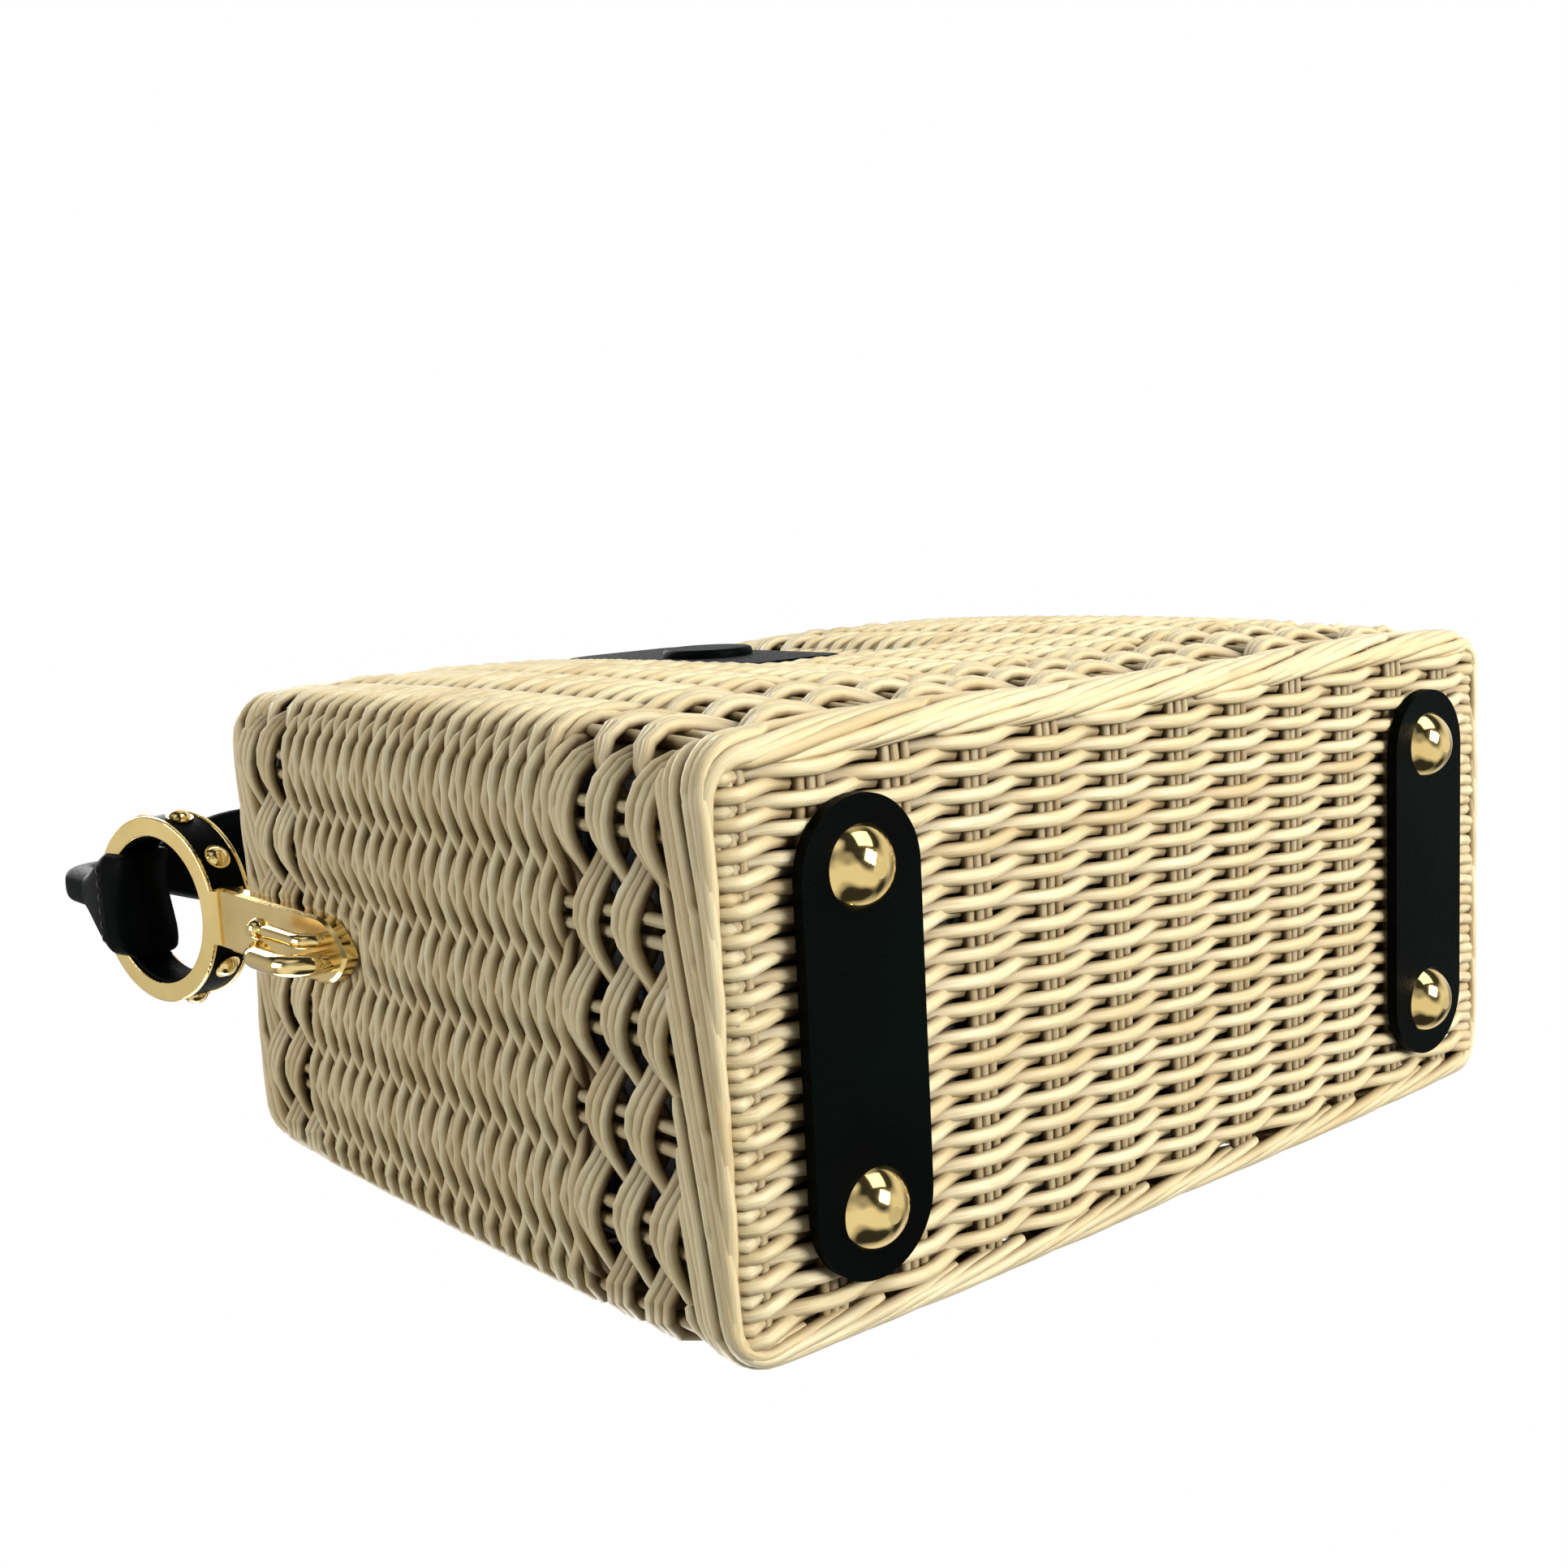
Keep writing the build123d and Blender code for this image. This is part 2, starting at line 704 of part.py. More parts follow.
def closure_button():
    """The leather-covered button over the tab's magnet."""
    face_y = -half_depth - closure_gap - closure_thickness
    disc = rod(button_radius, (0, face_y, button_z), (0, face_y - button_thickness, button_z))
    rim = disc.faces().sort_by(Axis.Y)[0].edges()
    return fillet(rim, button_thickness * 0.6)


def closure_rivets():
    """The two rivets through tab, lid and lining."""
    rivets = []
    top = lid_top + closure_thickness
    under = lid_base - lid_lining_thickness
    for x, y in closure_rivet_axes():
        cap = Pos(x, y, top) * dome(rivet_head_radius, rivet_head_height)
        shank = rod(rivet_radius, (x, y, under - 0.3), (x, y, top + rivet_head_height / 2))
        foot_head = rod(rivet_head_radius, (x, y, under - 0.6), (x, y, under))
        rivets.append(cap + shank + foot_head)
    return Compound(children=rivets)


def basket_magnet():
    """The magnet in the basket's front wall."""
    return rod(magnet_radius, (0, -half_depth, button_z), (0, -half_depth + magnet_thickness, button_z))


def closure_magnet():
    """The magnet in the tab's back."""
    inside_y = -half_depth - closure_gap
    return rod(magnet_radius, (0, inside_y, button_z), (0, inside_y - magnet_thickness, button_z))


# ---------------------------------------------------------------- hinges


def knuckle(x0, x1):
    """One knuckle about the hinge axis, bored for the pin."""
    y, z = hinge_axis_y, hinge_axis_z
    barrel = rod(knuckle_radius, (x0, y, z), (x1, y, z))
    bore = rod(pin_radius + pin_running_gap, (x0 - 1, y, z), (x1 + 1, y, z))
    return barrel, bore


def hinge_thirds(x):
    """The ends of the two outer knuckles and of the middle one."""
    third = hinge_width / 3
    gap = knuckle_clearance / 2
    low, high = x - hinge_width / 2, x + hinge_width / 2
    return (low, low + third - gap), (low + third + gap, high - third - gap), (high - third + gap, high)


def hinge_fixed_leaf(x):
    """The leaf on the back wall, with the two outer knuckles."""
    first, _, last = hinge_thirds(x)
    leaf_top = hinge_axis_z - knuckle_radius - knuckle_clearance
    y0 = half_depth
    leaf = block(first[0], last[1], y0, y0 + hinge_leaf, hinge_axis_z - hinge_leaf_height, leaf_top)
    for x0, x1 in (first, last):
        barrel, bore = knuckle(x0, x1)
        web = block(x0, x1, y0, hinge_axis_y, leaf_top - hinge_leaf, hinge_axis_z - knuckle_radius * 0.5)
        upper = block(x0, x1, y0, y0 + hinge_leaf, leaf_top - 1, hinge_axis_z)
        leaf = leaf + barrel + web + upper - bore
    for rx, rz in body_rivet_axes():
        leaf -= shank_hole(rivet_radius, (rx, y0 - 1, rz), (rx, y0 + 5, rz))
    return leaf


def hinge_moving_leaf(x):
    """The leaf on the lid's back edge, with the middle knuckle."""
    first, middle, last = hinge_thirds(x)
    y0 = half_depth
    leaf_base = hinge_axis_z + knuckle_radius + knuckle_clearance
    leaf = block(first[0], last[1], y0, y0 + hinge_leaf, leaf_base, lid_top)
    barrel, bore = knuckle(*middle)
    web = block(
        middle[0], middle[1], y0 + knuckle_clearance, y0 + hinge_leaf + 0.4, hinge_axis_z, leaf_base + 0.5
    )
    leaf = leaf + web + barrel - bore
    for rx, rz in lid_rivet_axes():
        leaf -= shank_hole(rivet_radius, (rx, y0 - 1, rz), (rx, y0 + 5, rz))
    return leaf


def hinge_pin(x):
    """The pin through all three knuckles."""
    first, _, last = hinge_thirds(x)
    return rod(pin_radius, (first[0], hinge_axis_y, hinge_axis_z), (last[1], hinge_axis_y, hinge_axis_z))


def hinge_rivets(axes):
    """A group of rivets through the hinge leaves into the wicker."""
    face_y = half_depth + hinge_leaf
    rivets = []
    for x, z in axes:
        head_plane = Plane(origin=(x, face_y, z), z_dir=(0, 1, 0))
        head = head_plane * dome(hinge_rivet_head_radius, hinge_rivet_head_height)
        inner_end = half_depth - hinge_rivet_depth
        shank = rod(rivet_radius, (x, face_y + hinge_rivet_head_height / 2, z), (x, inner_end, z))
        rivets.append(head + shank)
    return Compound(children=rivets)


# ---------------------------------------------------------------- all the nodes


def build_all():
    """Every node's name and shape."""
    nodes = {
        "basket_body": basket_body(),
        "lining": lining(),
        "left_foot_strip": foot_strip(-foot_x),
        "right_foot_strip": foot_strip(foot_x),
        "handle": handle(),
        "basket_lid": basket_lid(),
        "lid_lining": lid_lining(),
        "closure_tab": closure_tab(),
        "closure_button": closure_button(),
        "closure_rivets": closure_rivets(),
        "basket_magnet": basket_magnet(),
        "closure_magnet": closure_magnet(),
        "fixed_hinge_rivets": hinge_rivets(body_rivet_axes()),
        "moving_hinge_rivets": hinge_rivets(lid_rivet_axes()),
    }
    for name, x, y in foot_places():
        nodes[name] = foot(x, y)
        nodes[name + "_washer"] = foot_washer(x, y)
    for name, shape in (
        ("bracket", left_bracket()),
        ("ring_band", left_ring_band()),
        ("ring_studs", left_ring_studs()),
        ("bracket_screws", left_bracket_screws()),
        ("strap_hook", left_hook()),
        ("hook_keeper", left_hook_keeper()),
    ):
        nodes["left_" + name] = shape
        nodes["right_" + name] = mirrored(shape)
    for name, x in hinge_places():
        nodes[name + "_hinge_fixed_leaf"] = hinge_fixed_leaf(x)
        nodes[name + "_hinge_moving_leaf"] = hinge_moving_leaf(x)
        nodes[name + "_hinge_pin"] = hinge_pin(x)
    return nodes


os.makedirs("parts", exist_ok=True)
for node_name, node_shape in build_all().items():
    write(node_name, node_shape)
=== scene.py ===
"""A woven rattan box bag with a padded leather handle, ringed side plates and dome feet.

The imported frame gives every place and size. This script weaves the basket and the lid out of
rods, sews the leather and cloth pieces, and gives each piece of metalwork its finish.
Sizes are in millimetres until a mesh is made.
"""

import sys
import json
import logging
import math
from collections.abc import Callable, Iterator, Sequence
from contextlib import contextmanager
from dataclasses import dataclass, field
from enum import Enum

import bpy
import numpy as np
from mathutils import Matrix, Vector


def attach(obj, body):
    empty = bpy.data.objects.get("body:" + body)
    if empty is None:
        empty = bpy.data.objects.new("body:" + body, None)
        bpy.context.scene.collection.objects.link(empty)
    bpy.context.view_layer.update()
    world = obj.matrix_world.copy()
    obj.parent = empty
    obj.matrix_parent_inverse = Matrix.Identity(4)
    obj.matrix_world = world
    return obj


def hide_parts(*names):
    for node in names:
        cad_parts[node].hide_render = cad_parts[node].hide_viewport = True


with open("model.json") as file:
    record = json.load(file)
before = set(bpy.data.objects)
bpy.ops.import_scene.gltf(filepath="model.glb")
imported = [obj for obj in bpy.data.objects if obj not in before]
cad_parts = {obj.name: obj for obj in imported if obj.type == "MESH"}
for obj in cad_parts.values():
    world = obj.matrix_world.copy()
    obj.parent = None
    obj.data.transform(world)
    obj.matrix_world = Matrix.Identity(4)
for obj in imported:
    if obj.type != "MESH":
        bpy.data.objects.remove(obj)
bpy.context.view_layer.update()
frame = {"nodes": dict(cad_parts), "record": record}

MM = 0.001
SEED = 4127
LOG = logging.getLogger("woven_box_bag")
Array = np.ndarray


class Body(Enum):
    """The bodies that pieces ride on."""

    BAG = "bag"
    LID = "lid"


class Slot(Enum):
    """The record's material slots."""

    WICKER = "wicker"
    LEATHER = "black_leather"
    GOLD = "gold_brass"
    CLOTH = "lining_cloth"
    STEEL = "steel"


class Side(Enum):
    """The two ends of the bag."""

    LEFT = -1
    RIGHT = 1


# ------------------------------------------------------------------ mesh tools


class Bench:
    """The few operator habits that every modelled piece shares."""

    @staticmethod
    def clear() -> None:
        """Deselect every object."""
        for item in bpy.context.selected_objects:
            item.select_set(False)

    @staticmethod
    def take(piece: bpy.types.Object) -> None:
        """Make one object the only selected and active one."""
        Bench.clear()
        piece.select_set(True)
        bpy.context.view_layer.objects.active = piece

    @staticmethod
    @contextmanager
    def editing(piece: bpy.types.Object) -> Iterator[None]:
        """Hold an object in edit mode for as long as the block runs."""
        Bench.take(piece)
        bpy.ops.object.mode_set(mode="EDIT")
        try:
            yield
        finally:
            bpy.ops.object.mode_set(mode="OBJECT")

    @staticmethod
    def pick(piece: bpy.types.Object, test: Callable[[Vector, Vector], bool]) -> None:
        """Select the faces whose centre (mm) and normal pass a test, in object mode.

        Args:
            piece: The mesh object.
            test: Takes a face's centre and its normal.
        """
        mesh = piece.data
        for part in (mesh.vertices, mesh.edges, mesh.polygons):
            part.foreach_set("select", [False] * len(part))
        for face in mesh.polygons:
            face.select = test(face.center / MM, face.normal)

    @staticmethod
    def apply(piece: bpy.types.Object, kind: str, **settings: object) -> None:
        """Add a modifier, set it, and apply it.

        Args:
            piece: The object that gets the modifier.
            kind: The modifier's type.
            settings: Values of the modifier's properties.
        """
        Bench.take(piece)
        modifier = piece.modifiers.new(kind.title(), kind)
        for name, value in settings.items():
            setattr(modifier, name, value)
        bpy.ops.object.modifier_apply(modifier=modifier.name)

    @staticmethod
    def settle(piece: bpy.types.Object) -> None:
        """Put an object's place into its mesh, so that the object sits at the origin."""
        Bench.take(piece)
        bpy.ops.object.transform_apply(location=True, rotation=True, scale=True)

    @staticmethod
    def face_out(piece: bpy.types.Object) -> None:
        """Merge doubled points and point every face outwards."""
        with Bench.editing(piece):
            bpy.ops.mesh.select_all(action="SELECT")
            bpy.ops.mesh.remove_doubles(threshold=0.01 * MM)
            bpy.ops.mesh.normals_make_consistent(inside=False)

    @staticmethod
    def smooth(piece: bpy.types.Object, degrees: float = 180.0) -> None:
        """Shade an object smooth below the given edge angle."""
        Bench.take(piece)
        if degrees >= 180:
            bpy.ops.object.shade_smooth()
        else:
            bpy.ops.object.shade_smooth_by_angle(angle=math.radians(degrees))

    @staticmethod
    def points(piece: bpy.types.Object) -> Array:
        """An object's mesh points in millimetres."""
        flat = np.zeros(len(piece.data.vertices) * 3)
        piece.data.vertices.foreach_get("co", flat)
        return flat.reshape(-1, 3) / MM

    @staticmethod
    def place_points(piece: bpy.types.Object, points: Array) -> None:
        """Write an object's mesh points, given in millimetres."""
        piece.data.vertices.foreach_set("co", (points * MM).ravel())
        piece.data.update()

    @staticmethod
    def tube(name: str, rings: Sequence[Array]) -> bpy.types.Object:
        """An open tube drawn out of a circle, one extrusion per ring.

        Args:
            name: The piece's name.
            rings: The outline at each station, in millimetres, all with as many points.

        Returns:
            The new object, open at both ends.
        """
        Bench.clear()
        bpy.ops.mesh.primitive_circle_add(vertices=len(rings[0]), radius=MM, fill_type="NOTHING")
        piece = bpy.context.object
        piece.name = piece.data.name = name
        Bench.place_points(piece, np.asarray(rings[0]))
        for ring in rings[1:]:
            with Bench.editing(piece):
                bpy.ops.mesh.extrude_region_move(TRANSFORM_OT_translate={"value": (0, 0, MM)})
            points = Bench.points(piece)
            points[-len(ring) :] = ring
            Bench.place_points(piece, points)
        return piece

    @staticmethod
    def extruded(name: str, rings: Sequence[Array]) -> bpy.types.Object:
        """A closed solid: a tube with both ends filled.

        Args:
            name: The piece's name.
            rings: The outline at each station, in millimetres, all with as many points.

        Returns:
            The new object.
        """
        piece = Bench.tube(name, rings)
        count, total = len(rings[0]), len(piece.data.vertices)
        for ends in (range(total - count, total), range(count)):
            with Bench.editing(piece):
                bpy.ops.mesh.select_all(action="DESELECT")
            for index in ends:
                piece.data.vertices[index].select = True
            with Bench.editing(piece):
                bpy.ops.mesh.select_mode(type="VERT")
                bpy.ops.mesh.fill_grid(span=count // 4)
        Bench.face_out(piece)
        return piece


def finish_piece(
    piece: bpy.types.Object, material: bpy.types.Material, slot: Slot, body: Body, *stands_for: str
) -> bpy.types.Object:
    """Dress a finished piece and tie it to the frame.

    Args:
        piece: The modelled object, with its place in its mesh.
        material: The finish it gets.
        slot: The record's material slot; not used.
        body: The body that it rides on.
        stands_for: The frame nodes that it replaces.

    Returns:
        The same object.
    """
    piece.data.materials.clear()
    piece.data.materials.append(material)
    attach(piece, body.value)
    if stands_for:
        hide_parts(*stands_for)
    piece.data.calc_loop_triangles()
    LOG.info("%s: %d triangles on %s", piece.name, len(piece.data.loop_triangles), body.value)
    return piece


# ------------------------------------------------------------------ rods


@dataclass
class Rod:
    """One rattan rod or thread along its centre line, in millimetres.

    Args:
        line: The centre line's points.
        outward: For each point, the direction away from the basket.
        radius: The rod's radius.
        closed: Whether the rod joins up with its own start.
        tone: A number from 0 to 1 that varies its colour.
        lift: How far it stands out from the weave's middle at each point, which sets how much painted shade it
            gets.
    """

    line: Array
    outward: Array
    radius: float
    closed: bool = False
    tone: float = 0.5
    lift: Array | float = 3.0


def distances(line: Array) -> Array:
    """How far along a line each of its points lies."""
    return np.concatenate([[0], np.cumsum(np.linalg.norm(np.diff(line, axis=0), axis=1))])


class RodSkin:
    """Turns many rods into one mesh, with each rod's tone, fibre direction and painted shade kept on its
    points.
    """

    # Painted shade on the rods: none where a rod's surface stands 3.6 mm out from the weave's middle, full 6.4
    # mm further in, with more added on each rod's flanks and inner face.
    CROWN = 3.6
    DEPTH = 6.4
    SIDE_SHADE = 0.30

    def __init__(self, sides: int = 8) -> None:
        """Take the number of faces round each rod."""
        self.sides = sides
        self.painted_shades: list[Array] = []
        self.points: list[Array] = []
        self.faces: list[Array] = []
        self.caps: list[Array] = []
        self.tones: list[Array] = []
        self.fibres: list[Array] = []
        self.count = 0

    def add(self, rod: Rod) -> None:
        """Skin one rod and add it to the mesh."""
        line = np.asarray(rod.line, float)
        if rod.closed:
            ahead = np.roll(line, -1, 0) - np.roll(line, 1, 0)
        else:
            ahead = np.gradient(line, axis=0)
        ahead /= np.linalg.norm(ahead, axis=1, keepdims=True)
        across = np.cross(ahead, rod.outward)
        across /= np.maximum(np.linalg.norm(across, axis=1, keepdims=True), 1e-9)
        out = np.cross(across, ahead)
        turn = np.arange(self.sides) * 2 * math.pi / self.sides
        swell = np.full(len(line), rod.radius)
        if not rod.closed:
            swell[0] *= 0.75
            swell[-1] *= 0.75
        ring = (
            line[:, None, :]
            + swell[:, None, None] * np.cos(turn)[None, :, None] * out[:, None, :]
            + swell[:, None, None] * np.sin(turn)[None, :, None] * across[:, None, :]
        )
        rows = len(line)
        index = self.count + np.arange(rows * self.sides).reshape(rows, self.sides)
        low = index if rod.closed else index[:-1]
        high = np.roll(index, -1, 0) if rod.closed else index[1:]
        quads = np.stack([low, np.roll(low, -1, 1), np.roll(high, -1, 1), high], -1)
        self.faces.append(quads.reshape(-1, 4))
        run = distances(line)
        fibre = np.zeros((rows, self.sides, 3))
        fibre[..., 0] = run[:, None] * 0.035 + rod.tone * 91
        fibre[..., 1] = np.cos(turn)[None, :] + rod.tone * 37
        fibre[..., 2] = np.sin(turn)[None, :]
        self.points.append(ring.reshape(-1, 3))
        self.fibres.append(fibre.reshape(-1, 3))
        self.tones.append(np.full(rows * self.sides, rod.tone))
        # Painted shade: darker where the rod's surface lies deep in the weave, and on its flanks and inner
        # face.
        lift = np.broadcast_to(rod.lift, (rows,))[:, None] + rod.radius * np.cos(turn)[None, :]
        side_shade = self.SIDE_SHADE * (1 - np.cos(turn))[None, :]
        painted_shade = np.clip((self.CROWN - lift) / self.DEPTH + side_shade, 0, 1)
        self.painted_shades.append(painted_shade.ravel())
        self.count += rows * self.sides
        if not rod.closed:
            self._cap(line[0] - ahead[0] * rod.radius * 0.4, index[0][::-1], rod, fibre[0, 0], painted_shade[0, 0])
            self._cap(line[-1] + ahead[-1] * rod.radius * 0.4, index[-1], rod, fibre[-1, 0], painted_shade[-1, 0])

    def _cap(self, tip: Array, rim: Array, rod: Rod, fibre: Array, painted_shade: float) -> None:
        """Close a rod's end with a low cone of faces."""
        self.points.append(tip[None, :])
        self.painted_shades.append(np.array([painted_shade]))
        self.tones.append(np.array([rod.tone]))
        self.fibres.append(fibre[None, :])
        centre = np.full(len(rim), self.count)
        self.caps.append(np.stack([rim, np.roll(rim, -1), centre], -1))
        self.count += 1

    def piece(self, name: str) -> bpy.types.Object:
        """Make the mesh object out of every rod added so far.

        Args:
            name: The new object's name.

        Returns:
            The object, shaded smooth.
        """
        mesh = bpy.data.meshes.new(name)
        faces = [tuple(face) for group in self.faces for face in group.tolist()]
        faces += [tuple(face) for group in self.caps for face in group.tolist()]
        mesh.from_pydata((np.concatenate(self.points) * MM).tolist(), [], faces)
        tone = mesh.attributes.new("strand_tone", "FLOAT", "POINT")
        tone.data.foreach_set("value", np.concatenate(self.tones).astype(np.float32))
        painted_shade = mesh.attributes.new("strand_painted_shade", "FLOAT", "POINT")
        painted_shade.data.foreach_set("value", np.concatenate(self.painted_shades).astype(np.float32))
        fibre = mesh.attributes.new("strand_fibre", "FLOAT_VECTOR", "POINT")
        fibre.data.foreach_set("vector", np.concatenate(self.fibres).astype(np.float32).ravel())
        mesh.polygons.foreach_set("use_smooth", [True] * len(mesh.polygons))
        piece = bpy.data.objects.new(name, mesh)
        bpy.context.scene.collection.objects.link(piece)
        return piece


@dataclass(frozen=True)
class Girdle:
    """A level path round the basket: a rectangle with rounded corners.

    It starts at the middle of the left end and runs to the front, then along the front.
    """

    half_x: float
    half_y: float
    radius: float

    @property
    def length(self) -> float:
        """The whole way round."""
        straight = 4 * (self.half_x - self.radius) + 4 * (self.half_y - self.radius)
        return straight + 2 * math.pi * self.radius

    def at(self, run: Array) -> tuple[Array, Array]:
        """Points and outward directions at distances along the path.

        Args:
            run: Distances from the start, which may go past the end.

        Returns:
            The points' x and y, and the unit outward directions, one row each.
        """
        run = np.mod(run, self.length)
        flat_x, flat_y = self.half_x - self.radius, self.half_y - self.radius
        arc = math.pi / 2 * self.radius
        spot = np.zeros((len(run), 2))
        out = np.zeros((len(run), 2))
        start = 0.0
        sides = ((flat_y, 0.0), (2 * flat_x, 1.0), (2 * flat_y, 2.0), (2 * flat_x, 3.0), (flat_y, 4.0))
        for number, (straight, quarter) in enumerate(sides):
            angle = math.pi + quarter * math.pi / 2
            normal = np.array([math.cos(angle), math.sin(angle)])
            heading = np.array([-normal[1], normal[0]])
            reach = self.half_x if number % 2 == 0 else self.half_y
            behind = 0.0 if number == 0 else (flat_y if number % 2 == 0 else flat_x)
            mask = (run >= start) & (run <= start + straight)
            along = (run[mask] - start - behind)[:, None]
            spot[mask] = normal * reach + heading * along
            out[mask] = normal
            start += straight
            if number == 4:
                break
            mask = (run > start) & (run < start + arc)
            turn = angle + (run[mask] - start) / self.radius
            corner = normal * (reach - self.radius) + heading * (straight - behind)
            out[mask] = np.stack([np.cos(turn), np.sin(turn)], 1)
            spot[mask] = corner + out[mask] * self.radius
            start += arc
        return spot, out


def ramp(value: Array, start: float, end: float) -> Array:
    """A smooth step from 0 at start to 1 at end."""
    share = np.clip((value - start) / (end - start), 0, 1)
    return share * share * (3 - 2 * share)


@dataclass
class Basketry:
    """What all the woven pieces share: the sizes of the box and how it gives under its fittings."""

    half_x: float = 121.0
    half_y: float = 55.0
    corner: float = 9.5
    end_swell: float = 1.6
    seat_x: float = 120.0
    seat_y: float = 53.5
    base_z: float = 7.0
    leaf_x: float = 62.0
    strip_x: float = 91.0
    rod_radius: float = 1.36
    front_swell: float = 5.2
    closure_dip: float = 2.0
    back_swell: float = 4.2
    random: np.random.Generator = field(default_factory=lambda: np.random.default_rng(SEED))

    def swell(self, points: Array) -> Array:
        """Push the long walls out where the basket has bellied, between its middle and its ends."""
        x, y, z = points.T
        side = np.clip((1 - np.abs(x) / (self.half_x + 3)) / 0.83, 0, 1)
        bow = np.sin(math.pi * side) ** 0.8
        height = np.clip(np.sin(math.pi * np.clip((z + 1) / 206, 0, 1)), 0, 1) ** 0.6
        moved = points.copy()
        full = np.sin(math.pi * np.clip((1 - np.abs(x) / (self.half_x + 3)) / 1.7, 0, 1))
        bow = np.maximum(bow, 0.55 * full * (1 - ramp(z, 92, 126)))
        under = (1 - ramp(np.abs(x), 20, 36)) * ramp(z, 104, 122)
        bellied = self.front_swell * bow * height * (1 - under)
        moved[:, 1] -= (bellied - self.closure_dip * under) * ramp(-y, 34, 46)
        clear = 1 - (1 - ramp(np.abs(y), 11, 26)) * ramp(z, 112, 134)
        moved[:, 0] += np.sign(x) * self.end_swell * clear * ramp(np.abs(x), 96, 112) * height
        back = np.sin(math.pi * np.clip((1 - np.abs(x) / (self.half_x + 3)) / 1.4, 0, 1)) ** 0.7
        moved[:, 1] += self.back_swell * back * height * ramp(y, 34, 46)
        return moved

    def press(self, points: Array, radius: float) -> Array:
        """Hold rods back where a plate, strap, leaf or tab lies on the weave.

        Args:
            points: Centre-line points.
            radius: The rods' radius.

        Returns:
            The points, moved inwards where they have to be.
        """
        x, y, z = points.T
        moved = points.copy()
        away = 1 - ramp(np.abs(y), 8.0, 11.5)
        held = away * ramp(z, 132.0, 138.0) * ramp(np.abs(x), 105, 108)
        limit = self.seat_x - 0.1 - radius + (1 - held) * 5
        moved[:, 0] = np.sign(x) * np.minimum(np.abs(x), np.where(held > 0, limit, 999))
        held = (1 - ramp(np.abs(x), 19.5, 23.5)) * ramp(z, 118.0, 124.0) * ramp(-y, 42, 44)
        limit = self.seat_y - 0.05 - radius + (1 - held) * 9
        front = (held > 0) & (y < 0)
        moved[:, 1] = np.where(front, np.maximum(y, -limit), moved[:, 1])
        held = (1 - ramp(np.abs(np.abs(x) - self.leaf_x), 13.5, 17)) * ramp(z, 170.0, 175.0) * ramp(y, 42, 44)
        limit = self.seat_y - 0.1 - radius + (1 - held) * 9
        moved[:, 1] = np.where(held > 0, np.minimum(moved[:, 1], limit), moved[:, 1])
        held = (1 - ramp(np.abs(np.abs(x) - self.strip_x), 14.3, 17)) * (1 - ramp(np.abs(y), 44.3, 47))
        held = held * (1 - ramp(z, 14, 18))
        limit = self.base_z + 0.05 + radius - (1 - held) * 4
        moved[:, 2] = np.where(held > 0, np.maximum(z, limit), moved[:, 2])
        return moved

    def wobble(self, count: int, size: float, closed: bool = False) -> Array:
        """A slow random drift along a rod.

        Args:
            count: The number of points.
            size: The drift's largest value, about.
            closed: Whether the drift has to end as it starts.

        Returns:
            One value for each point.
        """
        share = np.arange(count) / (count if closed else max(count - 1, 1))
        drift = np.zeros(count)
        for wave in (2, 3, 5, 9):
            phase = self.random.uniform(0, 2 * math.pi)
            drift += np.sin(2 * math.pi * wave * share + phase) / wave
        return drift * size / 1.2

    def tone(self) -> float:
        """A random tone for one rod."""
        return float(self.random.uniform(0, 1))


# ------------------------------------------------------------------ the basket


